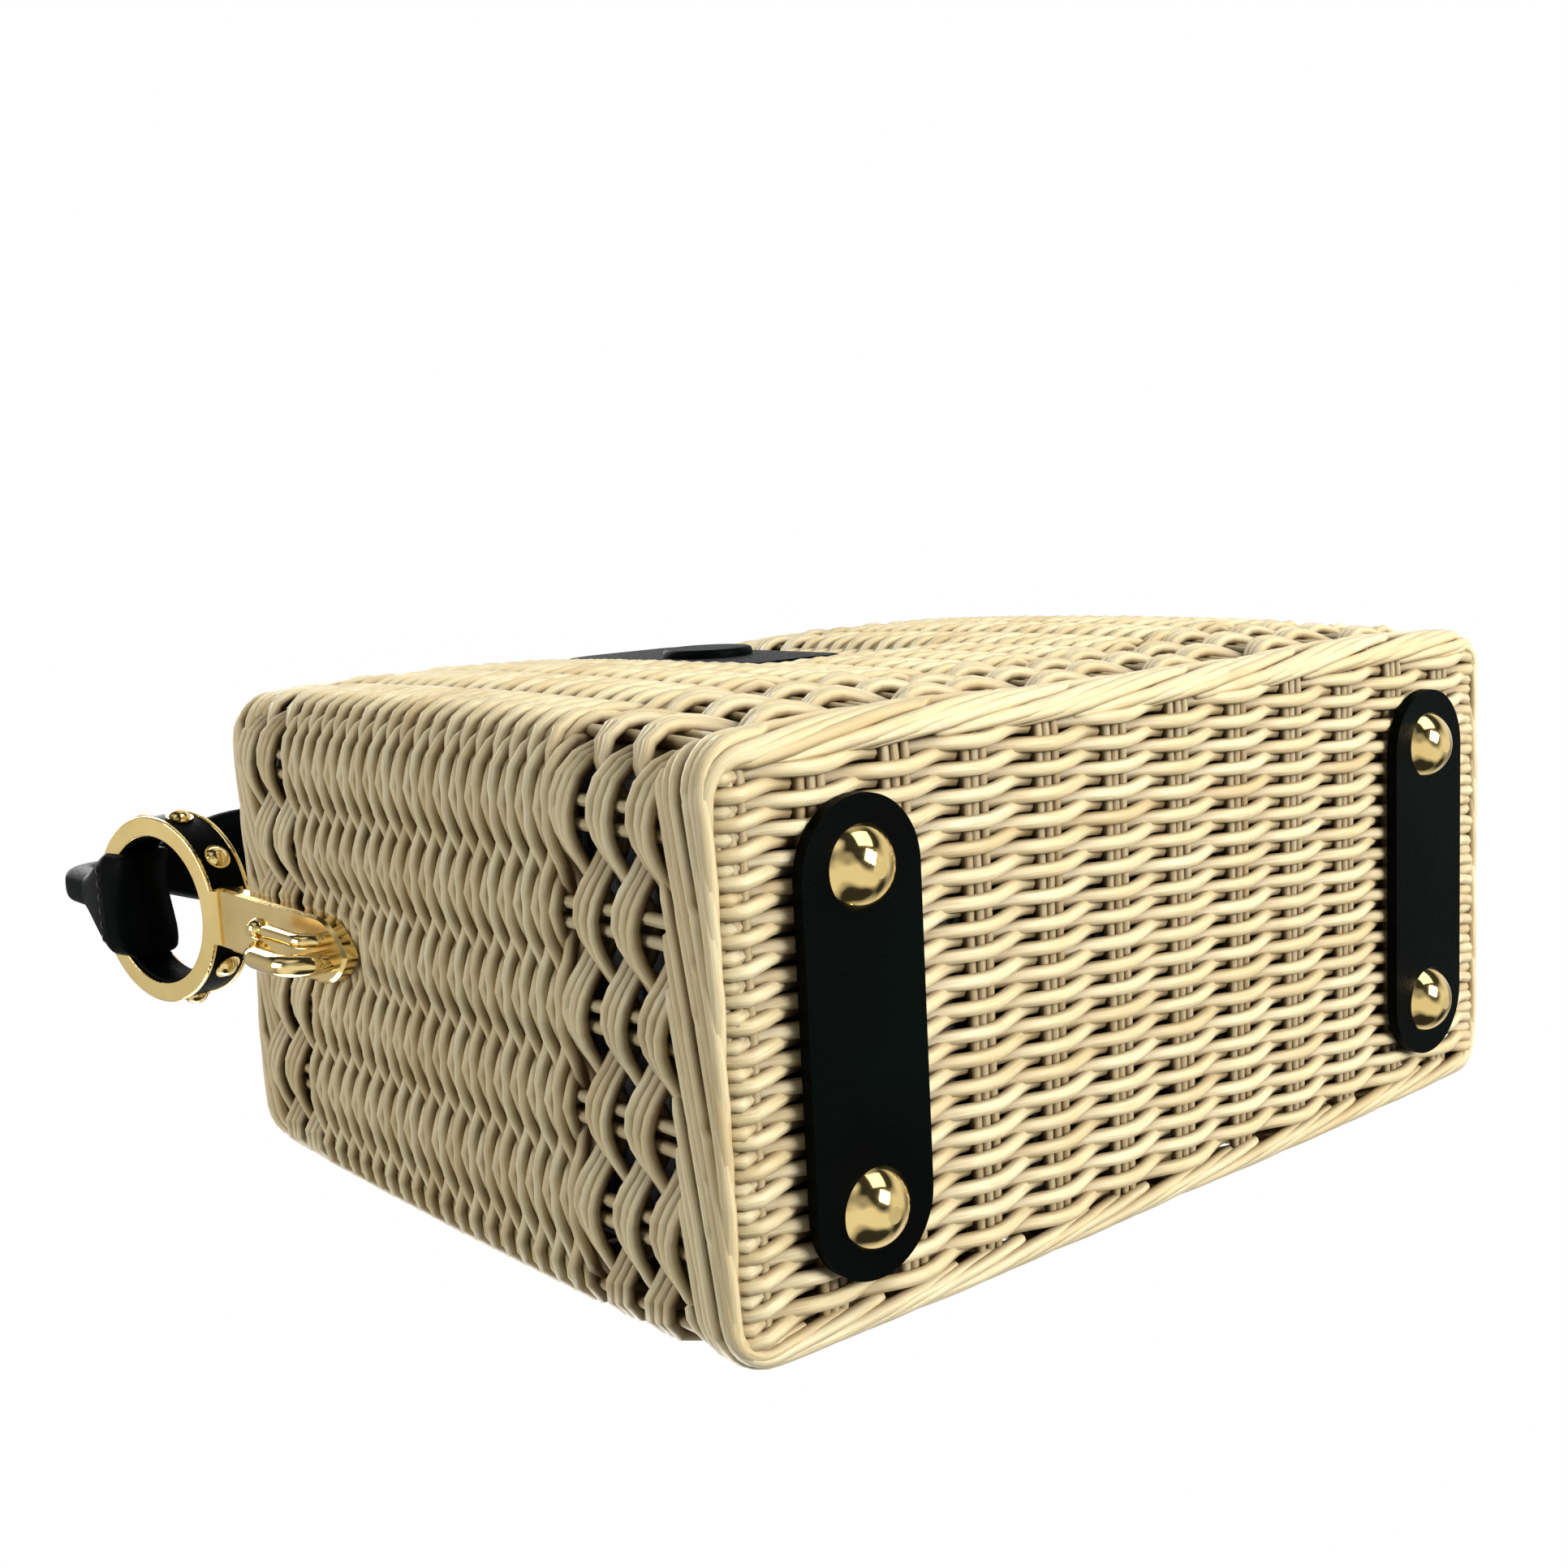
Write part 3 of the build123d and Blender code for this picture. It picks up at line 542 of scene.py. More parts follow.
@dataclass
class BasketWalls(Basketry):
    """The upright walls: a close weave of paired rods over stakes, with open bands above and below."""

    stake_count: int = 36
    stake_shift: float = 3.0
    steps_per_stake: int = 6
    wave_depth: float = 2.4
    pair_half: float = 1.38
    row_pitch: float = 3.03
    first_row_z: float = 53.4
    row_count: int = 37
    open_rows: tuple[float, ...] = (24.4, 30.3, 36.3, 42.3, 48.3, 168.0, 173.4, 178.8, 184.2)
    open_lift: float = 2.8
    open_rod_gap: float = 2.2
    stake_ends: tuple[float, float] = (11.0, 193.5)
    stake_half: float = 1.95

    @property
    def girdle(self) -> Girdle:
        """The path that the rods' middle follows."""
        inset = 2.85
        return Girdle(self.half_x - inset, self.half_y - inset, self.corner - inset)

    def wrap(
        self, rise: Array, depth: Array, run: Array, tone: float, closed: bool = True, slim: float = 1.0
    ) -> Rod:
        """A rod that follows the wall.

        Args:
            rise: Its height at each point.
            depth: How far it stands out from the walls' middle at each point.
            run: Each point's distance along the girdle.
            tone: The rod's tone.
            closed: Whether it goes the whole way round.
            slim: Its thickness, as a share of the usual rod's.

        Returns:
            The rod, bellied with the front and pressed in under the fittings.
        """
        spot, out = self.girdle.at(run)
        line = np.column_stack([spot + out * depth[:, None], rise])
        radius = self.rod_radius * slim * float(self.random.uniform(0.95, 1.04))
        line = self.press(self.swell(line), radius)
        outward = np.column_stack([out, np.zeros(len(out))])
        return Rod(line, outward, radius, closed, tone, depth)

    def runs(self) -> tuple[Array, Array]:
        """Distances along the girdle, and the weave's phase at each."""
        count = self.stake_count * self.steps_per_stake
        run = np.arange(count) * self.girdle.length / count
        spacing = self.girdle.length / self.stake_count
        return run, math.pi * (run - self.stake_shift) / spacing

    def close_rows(self, first: int, last: int) -> RodSkin:
        """Weave the close rows from one number up to another."""
        skin = RodSkin()
        run, phase = self.runs()
        for row in range(first, last):
            turned = phase + math.pi * (row % 2)
            level = self.first_row_z + row * self.row_pitch
            drift = self.wobble(len(run), 0.22, True)
            for member in (-1, 1):
                lean = member * self.pair_half
                own = self.wobble(len(run), 0.1, True)
                rise = level + drift + own + lean * np.abs(np.cos(turned))
                depth = self.wave_depth * np.cos(turned) + lean * np.abs(np.sin(turned)) * 0.9
                skin.add(self.wrap(rise, depth, run, self.tone()))
        return skin

    def open_rows_skin(self) -> RodSkin:
        """Weave the open bands, whose rows are bundles of three rods."""
        skin = RodSkin()
        run, phase = self.runs()
        for row, level in enumerate(self.open_rows):
            turned = phase + math.pi * (row % 2)
            drift = self.wobble(len(run), 0.75, True)
            for member in (-1, 0, 1):
                spread = self.open_rod_gap * (0.7 + 0.3 * np.abs(np.cos(turned)))
                own = self.wobble(len(run), 0.32, True)
                rise = level + drift + own + member * spread + self.open_lift * np.cos(turned)
                depth = self.wave_depth * 1.04 * np.cos(turned) + 0.7 * member * np.sin(turned)
                skin.add(self.wrap(rise, depth, run, self.tone(), slim=0.92))
        return skin

    def stakes(self) -> RodSkin:
        """The pairs of upright stakes that the rows pass round."""
        skin = RodSkin()
        spacing = self.girdle.length / self.stake_count
        rise = np.linspace(*self.stake_ends, 26)
        for stake in range(self.stake_count):
            for member in (-1, 1):
                middle = self.stake_shift + stake * spacing + member * self.stake_half
                run = np.full(len(rise), middle) + self.wobble(len(rise), 0.25)
                depth = self.wobble(len(rise), 0.15)
                skin.add(self.wrap(rise, depth, run, self.tone(), False))
        return skin


@dataclass
class SlantedBorder(Basketry):
    """A border of slanting bundles that wrap an edge of the box, three rods in each.

    Args:
        name: The piece's name; not used.
        profile: The way across the edge, as (distance in from the wall's face, height).
        span: How far along the edge one bundle runs.
        bundles: The number of bundles round the box.
        end_keep: How much of the profile's inward reach is kept along the two ends.
        side_keep: How much of it is kept along the front and back.
        end_lift: How much higher the profile's start lies along the ends.
        rod_gap: The distance between two rods of one bundle.
        tight: The part of the inward reach that is always kept.
        proud: How far the bundles stand out at their middle.
        stretch: The box's half length, half depth and corner radius.
        steps: The number of points in one rod.
    """

    name: str = "border"
    profile: tuple[tuple[float, float], ...] = ()
    span: float = 54.0
    bundles: int = 36
    rod_gap: float = 5.3
    end_keep: float = 1.0
    side_keep: float = 1.0
    end_lift: float = 0.0
    tight: float = 1.3
    proud: float = 0.8
    stretch: tuple[float, float, float] = (121.0, 55.0, 10.0)
    steps: int = 30

    def skin(self) -> RodSkin:
        """Lay every bundle round the box."""
        skin = RodSkin()
        girdle = Girdle(*self.stretch)
        knots = np.linspace(0, 1, len(self.profile))
        inward, height = np.array(self.profile).T
        share = np.linspace(0, 1, self.steps)
        spacing = girdle.length / self.bundles
        for bundle in range(self.bundles):
            for member in (-1, 0, 1):
                shift = self.random.uniform(-0.35, 0.35)
                run = bundle * spacing + member * self.rod_gap + shift + share * self.span
                spot, out = girdle.at(run)
                ends = np.abs(out[:, 0])
                keep = self.side_keep + (self.end_keep - self.side_keep) * ends
                reach = self.tight + (smooth_curve(knots, inward, share) - self.tight) * keep
                reach -= self.proud * (np.sin(math.pi * share) - 0.5) * (share > 0.25) * (share < 0.75)
                rise = smooth_curve(knots, height, share) + self.wobble(self.steps, 0.12)
                rise = self.lifted(rise, ends, share, reach)
                line = np.column_stack([spot - out * reach[:, None], rise])
                radius = self.rod_radius * float(self.random.uniform(0.95, 1.05))
                line = self.shape(line, radius)
                outward = np.column_stack([out, np.sign(rise - np.mean(height)) * 0.8])
                skin.add(Rod(line, outward, radius, False, self.tone()))
        return skin

    def lifted(self, rise: Array, ends: Array, share: Array, reach: Array) -> Array:
        """Raise a rod where the border is higher along the ends."""
        return rise + self.end_lift * ends * (1 - share) ** 2

    def shape(self, line: Array, radius: float) -> Array:
        """Fit a rod to the box's front and fittings."""
        return self.press(self.swell(line), radius)


@dataclass
class RimBorder(SlantedBorder):
    """The rim's border, which rolls over higher along the two end shelves.

    Args:
        hoops: The rods under it all the way round, as (distance in, height).
        shelf: The rods under it along each end, as (distance in, height).
        carrier_radius: The radius of both.
        hoop_steps: The number of points in one hoop.
    """

    hoops: tuple[tuple[float, float], ...] = ((4.0, 185.6), (4.2, 188.4), (4.5, 191.2), (7.0, 191.7))
    shelf: tuple[tuple[float, float], ...] = (
        (5.2, 194.3),
        (8.2, 195.0),
        (9.7, 191.6),
        (12.4, 191.6),
        (15.1, 191.5),
    )
    carrier_radius: float = 1.5
    hoop_steps: int = 240

    def skin(self) -> RodSkin:
        """Lay the bundles over the rods that carry them."""
        skin = super().skin()
        half_x, half_y, corner = self.stretch
        for inset, level in self.hoops:
            girdle = Girdle(half_x - inset, half_y - inset, corner - inset)
            run = np.arange(self.hoop_steps) * girdle.length / self.hoop_steps
            spot, out = girdle.at(run)
            line = np.column_stack([spot, level + self.wobble(len(run), 0.15, True)])
            line = self.shape(line, self.carrier_radius)
            outward = np.column_stack([out, np.zeros(len(out))])
            skin.add(Rod(line, outward, self.carrier_radius, True, self.tone(), 0.5))
        y = np.linspace(-1, 1, 30) * (half_y - 8.0)
        up = np.tile([0.0, 0.0, 1.0], (len(y), 1))
        for side in (-1, 1):
            for inset, level in self.shelf:
                x = np.full(len(y), side * (half_x - inset)) + self.wobble(len(y), 0.2)
                line = np.column_stack([x, y, level + self.wobble(len(y), 0.1)])
                skin.add(Rod(line, up, self.carrier_radius, False, self.tone(), 0.5))
        return skin

    def lifted(self, rise: Array, ends: Array, share: Array, reach: Array) -> Array:
        """Raise a rod over the end shelves, outside the lid."""
        roll = np.sin(math.pi * np.clip((reach - 0.2) / 13.5, 0, 1))
        return rise + self.end_lift * ends**2 * roll * ramp(rise, 186, 193)


def smooth_curve(knots: Array, values: Array, at: Array) -> Array:
    """A smooth curve through values at evenly spaced knots (Catmull-Rom)."""
    slope = np.gradient(values, knots)
    index = np.clip(np.searchsorted(knots, at, side="right") - 1, 0, len(knots) - 2)
    gap = knots[index + 1] - knots[index]
    t = (at - knots[index]) / gap
    low, high = values[index], values[index + 1]
    return (
        (2 * t**3 - 3 * t**2 + 1) * low
        + (t**3 - 2 * t**2 + t) * gap * slope[index]
        + (3 * t**2 - 2 * t**3) * high
        + (t**3 - t**2) * gap * slope[index + 1]
    )


@dataclass
class WovenPanel(Basketry):
    """A flat panel of single rods that pass over and under groups of three thin stakes.

    Args:
        level: The height of the panel's middle.
        face: -1 where it is seen from below, 1 from above.
    """

    level: float = 10.35
    face: int = -1
    reach_x: float = 119.6
    reach_y: float = 50.0
    end_start: float = 112.0
    bend_start: float = 114.6
    bend_radius: float = 4.8
    row_pitch: float = 2.51
    row_count: int = 40
    stake_first: float = -97.4
    end_stakes: tuple[float, ...] = (-115.4,)
    stake_gap: float = 20.15
    stake_total: int = 11
    wave_depth: float = 2.2
    sway_after: float = 1.0
    sway_before: float = 0.3
    weaver_radius: float = 1.56
    stake_radius: float = 1.15
    crown: float = 0.0

    def dome(self, points: Array) -> Array:
        """Raise the middle of the panel."""
        x, y, _ = points.T
        moved = points.copy()
        share = (1 - (x / 112) ** 2) * (1 - (y / 58) ** 2)
        moved[:, 2] += self.crown * np.clip(share, 0, 1)
        return self.fit(moved)

    def fit(self, points: Array) -> Array:
        """Turn the rods' ends up over the box's edge, and hold them clear of what lies on them."""
        moved = points.copy()
        past = np.maximum(np.abs(points[:, 0]) - self.bend_start, 0)
        turn = past / self.bend_radius
        inside = np.abs(points[:, 0]) - past
        moved[:, 0] = np.sign(points[:, 0]) * (inside + self.bend_radius * np.sin(turn))
        moved[:, 2] += self.bend_radius * (1 - np.cos(turn))
        return self.press(moved, self.weaver_radius)

    def skin(self) -> RodSkin:
        """Weave the panel."""
        skin = RodSkin()
        steps = int(2 * self.reach_x / 2.6)
        x = np.linspace(-self.reach_x, self.reach_x, steps)
        ends = ramp(np.abs(x), self.end_start, self.end_start + 5)
        phase = math.pi * (x - self.stake_first) / self.stake_gap
        up = np.tile([0.0, 0.0, float(self.face)], (steps, 1))
        first_y = -(self.row_count - 1) / 2 * self.row_pitch
        mean = (self.sway_after + self.sway_before) / 2
        for row in range(self.row_count):
            turned = phase + math.pi * (row % 2)
            swing = np.sin(turned)
            sway = -(mean * swing**2 + (self.sway_after - mean) * swing * np.abs(swing)) * (1 - ends)
            level_y = first_y + row * self.row_pitch + self.random.uniform(-0.18, 0.18)
            loose = self.random.uniform(-0.35, 0.35) * ends + self.wobble(steps, 0.22)
            dip = self.wave_depth * np.cos(turned) * (1 - ends)
            dip += (0.9 + self.random.uniform(-0.5, 0.5)) * ends
            z = self.level + self.face * dip
            line = self.dome(np.column_stack([x, level_y + sway + loose, z]))
            radius = self.weaver_radius * float(self.random.uniform(0.95, 1.03))
            skin.add(Rod(line, up, radius, False, self.tone(), dip))
        y = np.linspace(-self.reach_y - 2, self.reach_y + 2, 30)
        up = np.tile([0.0, 0.0, float(self.face)], (len(y), 1))
        groups = self.end_stakes + tuple(self.stake_first + k * self.stake_gap for k in range(self.stake_total))
        for middle in groups:
            for member in (-1, 0, 1):
                x_line = middle + member * 2.35
                across = np.full(len(y), x_line) + self.wobble(len(y), 0.3)
                line = np.column_stack([across, y, np.full(len(y), self.level)])
                skin.add(Rod(self.dome(line), up, self.stake_radius, False, self.tone(), -0.4))
        return skin


@dataclass
class LidWeave(WovenPanel):
    """The lid's woven top, domed a little and flat under the closure's tab."""

    level: float = 200.65
    face: int = 1
    reach_x: float = 98.5
    reach_y: float = 46.5
    end_start: float = 200.0
    row_count: int = 37
    stake_first: float = -90.0
    end_stakes: tuple[float, ...] = ()
    stake_gap: float = 20.0
    stake_total: int = 10
    wave_depth: float = 1.75
    weaver_radius: float = 1.36
    crown: float = 1.5

    def fit(self, points: Array) -> Array:
        """Hold the weave below the closure's tab."""
        return hold_under_tab(points, self.weaver_radius)


@dataclass
class LidBorder(SlantedBorder):
    """The lid's edge, bound with slanting bundles."""

    def shape(self, line: Array, radius: float) -> Array:
        """Fit a rod to the tab and the hinges."""
        line = hold_under_tab(line, radius)
        line[:, 1] = np.minimum(line[:, 1], 53.4 - radius)
        line[:, 1] = np.maximum(line[:, 1], -53.45 + radius)
        return line


def hold_under_tab(points: Array, radius: float) -> Array:
    """Keep the lid's rods below the closure's tab and out of its way."""
    x, y, z = points.T
    held = (1 - ramp(np.abs(x), 19.5, 24)) * (1 - ramp(y, -20, -15))
    limit = 203.75 - radius + (1 - held) * 3
    moved = points.copy()
    moved[:, 2] = np.where(held > 0, np.minimum(z, limit), z)
    return moved


class Basket:
    """The basket and its lid, woven out of rods."""

    BASE_PROFILE = ((5.4, 10.2), (3.9, 8.7), (2.3, 9.3), (1.2, 12.0), (1.2, 15.4), (1.7, 19.0), (4.6, 22.6))
    RIM_PROFILE = (
        (5.0, 183.6),
        (1.6, 186.9),
        (1.3, 190.8),
        (2.9, 194.4),
        (7.5, 195.7),
        (13.0, 195.4),
        (17.0, 193.6),
    )
    LID_PROFILE = ((15.0, 200.2), (10.0, 202.3), (5.0, 202.6), (1.6, 201.0), (2.0, 199.4), (6.5, 198.8))

    def __init__(self, rattan: bpy.types.Material) -> None:
        """Take the rods' finish."""
        self.rattan = rattan

    def base_border(self) -> SlantedBorder:
        """The long shallow bundles round the bottom edge."""
        return SlantedBorder(
            name="base",
            profile=self.BASE_PROFILE,
            span=98.0,
            bundles=18,
            rod_gap=9.4,
            end_keep=0.12,
            end_lift=2.4,
            steps=44,
        )

    def rim_border(self) -> SlantedBorder:
        """The bundles that roll over the rim."""
        return RimBorder(
            name="rim",
            profile=self.RIM_PROFILE,
            span=112.0,
            bundles=18,
            rod_gap=9.4,
            side_keep=0.36,
            end_lift=3.0,
            steps=48,
        )

    def lid_border(self) -> LidBorder:
        """The bundles round the lid's edge."""
        return LidBorder(name="lid", profile=self.LID_PROFILE, bundles=30, stretch=(107.0, 53.5, 10.0))

    def build(self) -> None:
        """Weave every piece of the basket and the lid."""
        walls = BasketWalls()
        half = walls.row_count // 2
        pieces = (
            ("wall_weave_lower", walls.close_rows(0, half), Body.BAG, ("basket_body",)),
            ("wall_weave_upper", walls.close_rows(half, walls.row_count), Body.BAG, ()),
            ("wall_open_bands", walls.open_rows_skin(), Body.BAG, ()),
            ("wall_stakes", walls.stakes(), Body.BAG, ()),
            ("base_weave", WovenPanel().skin(), Body.BAG, ()),
            ("base_border", self.base_border().skin(), Body.BAG, ()),
            ("rim_border", self.rim_border().skin(), Body.BAG, ()),
            ("lid_weave", LidWeave().skin(), Body.LID, ("basket_lid",)),
            ("lid_border", self.lid_border().skin(), Body.LID, ()),
        )
        for name, skin, body, nodes in pieces:
            finish_piece(skin.piece(name), self.rattan, Slot.WICKER, body, *nodes)


# ------------------------------------------------------------------ leather


def squared_round(count: int, power: float) -> tuple[Array, Array]:
    """A unit outline between a circle and a square, as its across and through parts."""
    turn = np.arange(count) * 2 * math.pi / count + math.pi / count
    across = np.sign(np.cos(turn)) * np.abs(np.cos(turn)) ** (2 / power)
    through = np.sign(np.sin(turn)) * np.abs(np.sin(turn)) ** (2 / power)
    return across, through


def section(width: float, thickness: float, power: float = 2.6, count: int = 24) -> Array:
    """A pillow-shaped cross-section, as (across, through) points in millimetres."""
    across, through = squared_round(count, power)
    return np.column_stack([across * width / 2, through * thickness / 2])


@dataclass
class Stitching:
    """A row of saddle stitches along a line.

    Args:
        length: The length of thread seen in one stitch.
        gap: The distance from one stitch to the next.
        radius: The thread's radius.
    """

    length: float = 2.1
    gap: float = 3.1
    radius: float = 0.24

    def sew(self, skin: RodSkin, line: Array, outward: Array) -> None:
        """Sew along a line of points.

        Args:
            skin: The mesh that gets the stitches.
            line: Points on the leather's surface.
            outward: The surface's outward direction at each.
        """
        run = distances(line)
        count = max(int(run[-1] / self.gap), 1)
        step = run[-1] / count
        for stitch in range(count):
            middle = (stitch + 0.5) * step
            at = np.linspace(middle - self.length / 2, middle + self.length / 2, 5)
            spot = np.column_stack([np.interp(at, run, line[:, axis]) for axis in range(3)])
            out = np.column_stack([np.interp(at, run, outward[:, axis]) for axis in range(3)])
            out /= np.linalg.norm(out, axis=1, keepdims=True)
            arch = np.array([-0.24, 0.04, 0.1, 0.04, -0.24])[:, None]
            skin.add(Rod(spot + out * arch, out, self.radius, False, 0.5))


@dataclass
class Handle:
    """The padded leather handle: a grip on two bent necks, and a bell-shaped tab round each ring."""

    leather: bpy.types.Material
    thread: bpy.types.Material
    neck_x: float = 129.5
    neck_width: float = 9.5
    neck_thickness: float = 9.0
    grip_width: float = 28.0
    grip_thickness: float = 10.0
    grip_z: float = 292.0
    bend_radius: float = 6.5
    flare_start: float = 82.0
    flare_end: float = 118.0
    leg_foot_z: float = 262.0
    bell_top_z: float = 272.0
    ring_x: float = 130.0
    ring_z: float = 232.0
    ring_tilt: float = math.radians(13.6)
    tab_half: float = 14.0
    tab_inner: float = 16.6
    tab_near: float = 2.5
    fold_rise: float = 19.4
    fold_share: float = 0.45
    neck_share: float = 0.55
    ring_width: float = 12.0
    bore_sides: int = 64
    bore_profile: tuple[tuple[float, float], ...] = ((19.15, 0.9), (18.55, 1.1), (18.55, 10.9), (19.15, 11.1))

    def spine(self) -> tuple[Array, Array]:
        """The grip's centre line from the left leg to the right, and its unit normals in XZ."""
        leg = [(-self.neck_x, z) for z in np.linspace(self.leg_foot_z, self.grip_z - self.bend_radius, 7)[:-1]]
        centre = (-self.neck_x + self.bend_radius, self.grip_z - self.bend_radius)
        bend = [
            (centre[0] - self.bend_radius * math.cos(a), centre[1] + self.bend_radius * math.sin(a))
            for a in np.linspace(0, math.pi / 2, 8)
        ]
        bar = [(x, self.grip_z) for x in np.linspace(bend[-1][0], 0, 22)[1:]]
        left = leg + bend + bar
        right = [(-x, z) for x, z in reversed(left[:-1])]
        line = np.array(left + right)
        ahead = np.gradient(line, axis=0)
        ahead /= np.linalg.norm(ahead, axis=1, keepdims=True)
        return line, np.column_stack([-ahead[:, 1], ahead[:, 0]])

    def width_at(self, x: float, z: float) -> tuple[float, float, float]:
        """The grip's width, thickness and squareness at a place on its spine."""
        if z < self.grip_z - 0.5:
            return self.neck_width, self.neck_thickness, 3.0
        share = float(ramp(np.array([abs(x)]), self.flare_start, self.flare_end)[0])
        width = self.grip_width + (self.neck_width - self.grip_width) * share
        pad = self.grip_thickness + (self.neck_thickness - self.grip_thickness) * share
        return width, pad, 2.3 + 0.7 * share

    def grip(self) -> bpy.types.Object:
        """The grip and necks in one padded piece."""
        line, normal = self.spine()
        rings = []
        for (x, z), (nx, nz) in zip(line, normal):
            width, thickness, power = self.width_at(x, z)
            ring = section(width, thickness, power)
            rings.append(np.column_stack([x + nx * ring[:, 1], ring[:, 0], z + nz * ring[:, 1]]))
        piece = Bench.extruded("handle_grip", rings)
        Bench.apply(piece, "SUBSURF", levels=1, render_levels=1)
        Bench.smooth(piece)
        return piece

    def ring_point(self, side: Side, up: Array, y: Array, axial: Array) -> Array:
        """Points given in a ring's own frame, moved into the bag's."""
        inward_x, inward_z = math.cos(self.ring_tilt), math.sin(self.ring_tilt)
        x = -self.ring_x + axial * inward_x - up * inward_z
        z = self.ring_z + axial * inward_z + up * inward_x
        return np.column_stack([x * -side.value, y, z])

    def tab_outline(self, share: float) -> tuple[float, float, float, float]:
        """The tab's half width, front and back faces and rise at a share of its height."""
        middle, depth = self.ring_width / 2, self.ring_width / 2 + self.tab_near
        rise = self.fold_rise
        if share <= self.fold_share:
            up = self.tab_inner + (rise - self.tab_inner) * share / self.fold_share
            return self.tab_half, middle - depth, middle + depth, up
        step = (share - self.fold_share) / self.neck_share
        top = self.bell_top_z - self.ring_z
        up = rise + (top + 1.5 - rise) * step
        slim = self.neck_width / 2 + 0.35
        half = slim + (self.tab_half - slim) * (1 - float(ramp(np.array([step]), -0.35, 1.0)[0])) / 0.84
        half = min(half, self.tab_half)
        drift = self.neck_offset(up) - self.neck_offset(rise)
        middle += drift * step**0.6 + (self.neck_offset(rise) - middle) * step
        slender = self.neck_thickness / 2 + 0.35
        depth = slender + (depth - slender) * (1 - step) ** 1.3
        return half, middle - depth, middle + depth, up

    def neck_offset(self, up: float) -> float:
        """How far along the ring's axis the neck's middle lies at a given rise."""
        inward_x, inward_z = math.cos(self.ring_tilt), math.sin(self.ring_tilt)
        return (self.ring_x - self.neck_x + up * inward_z) / inward_x

    def tab(self, side: Side) -> bpy.types.Object:
        """The tab that folds round one ring's top and rises to the neck."""
        rings = []
        for share in np.linspace(0, 1, 19):
            half, front, back, up = self.tab_outline(float(share))
            power = 5.5 - 2.5 * max(0.0, (share - self.fold_share) / self.neck_share)
            across, through = squared_round(48, power)
            y = across * half
            axial = through * (back - front) / 2
            bow = np.sqrt(np.maximum(self.tab_inner**2 - np.minimum(np.abs(y), 14) ** 2, 0)) - self.tab_inner
            rise = up + bow * max(0.0, 1 - share / self.fold_share)
            rings.append(self.ring_point(side, rise, y, axial + (front + back) / 2))
        piece = Bench.extruded(f"{side.name.lower()}_handle_tab", rings)
        Bench.apply(piece, "SUBSURF", levels=1, render_levels=1)
        Bench.smooth(piece)
        return piece

    def stitches(self, side: Side) -> bpy.types.Object:
        """The stitch lines on one tab and along the upper edges of its half of the grip."""
        skin = RodSkin(5)
        sewing = Stitching()
        half, front, back, rise = self.tab_outline(0.5)
        y = np.linspace(-half + 2.2, half - 2.2, 12)
        for face, way in ((front, -1.0), (back, 1.0)):
            line = self.ring_point(side, np.full(12, rise), y, np.full(12, face - way * 0.05))
            sewing.sew(skin, line, np.tile([-side.value * way, 0.0, 0.0], (12, 1)))
        line, normal = self.spine()
        for edge in (-1, 1):
            spots, outs = [], []
            for (x, z), (nx, nz) in zip(line, normal):
                if x * side.value < 0 or z < self.grip_z - 0.5:
                    continue
                width, thickness, _ = self.width_at(x, z)
                y = edge * (width / 2 - 2.4)
                drop = thickness / 2 * (1 - (abs(y) / (width / 2)) ** 2.3) ** (1 / 2.3)
                spots.append((x, y, z + drop))
                outs.append((0.0, edge * 0.5, 1.0))
            sewing.sew(skin, np.array(spots), np.array(outs))
        return skin.piece(f"{side.name.lower()}_handle_stitches")

    def bore_lining(self, side: Side) -> bpy.types.Object:
        """The leather that lines one ring's bore."""
        turn = np.arange(self.bore_sides) * 2 * math.pi / self.bore_sides
        rings = []
        for radius, axial in self.bore_profile:
            up, y = radius * np.cos(turn), radius * np.sin(turn)
            rings.append(self.ring_point(side, up, y, np.full(self.bore_sides, axial)))
        piece = Bench.tube(f"{side.name.lower()}_ring_bore_lining", rings)
        last = (len(rings) - 1) * self.bore_sides
        for edge in piece.data.edges:
            edge.select = all(index < self.bore_sides or index >= last for index in edge.vertices)
        with Bench.editing(piece):
            bpy.ops.mesh.select_mode(type="EDGE")
            bpy.ops.mesh.bridge_edge_loops()
        Bench.face_out(piece)
        Bench.smooth(piece, 40)
        return piece

    def build(self) -> None:
        """Make the grip, both tabs and their stitching."""
        grip = finish_piece(self.grip(), self.leather, Slot.LEATHER, Body.BAG, "handle")
        for side in Side:
            finish_piece(self.tab(side), self.leather, Slot.LEATHER, Body.BAG, "handle")
            finish_piece(self.stitches(side), self.thread, Slot.LEATHER, Body.BAG)
            finish_piece(self.bore_lining(side), self.leather, Slot.LEATHER, Body.BAG)


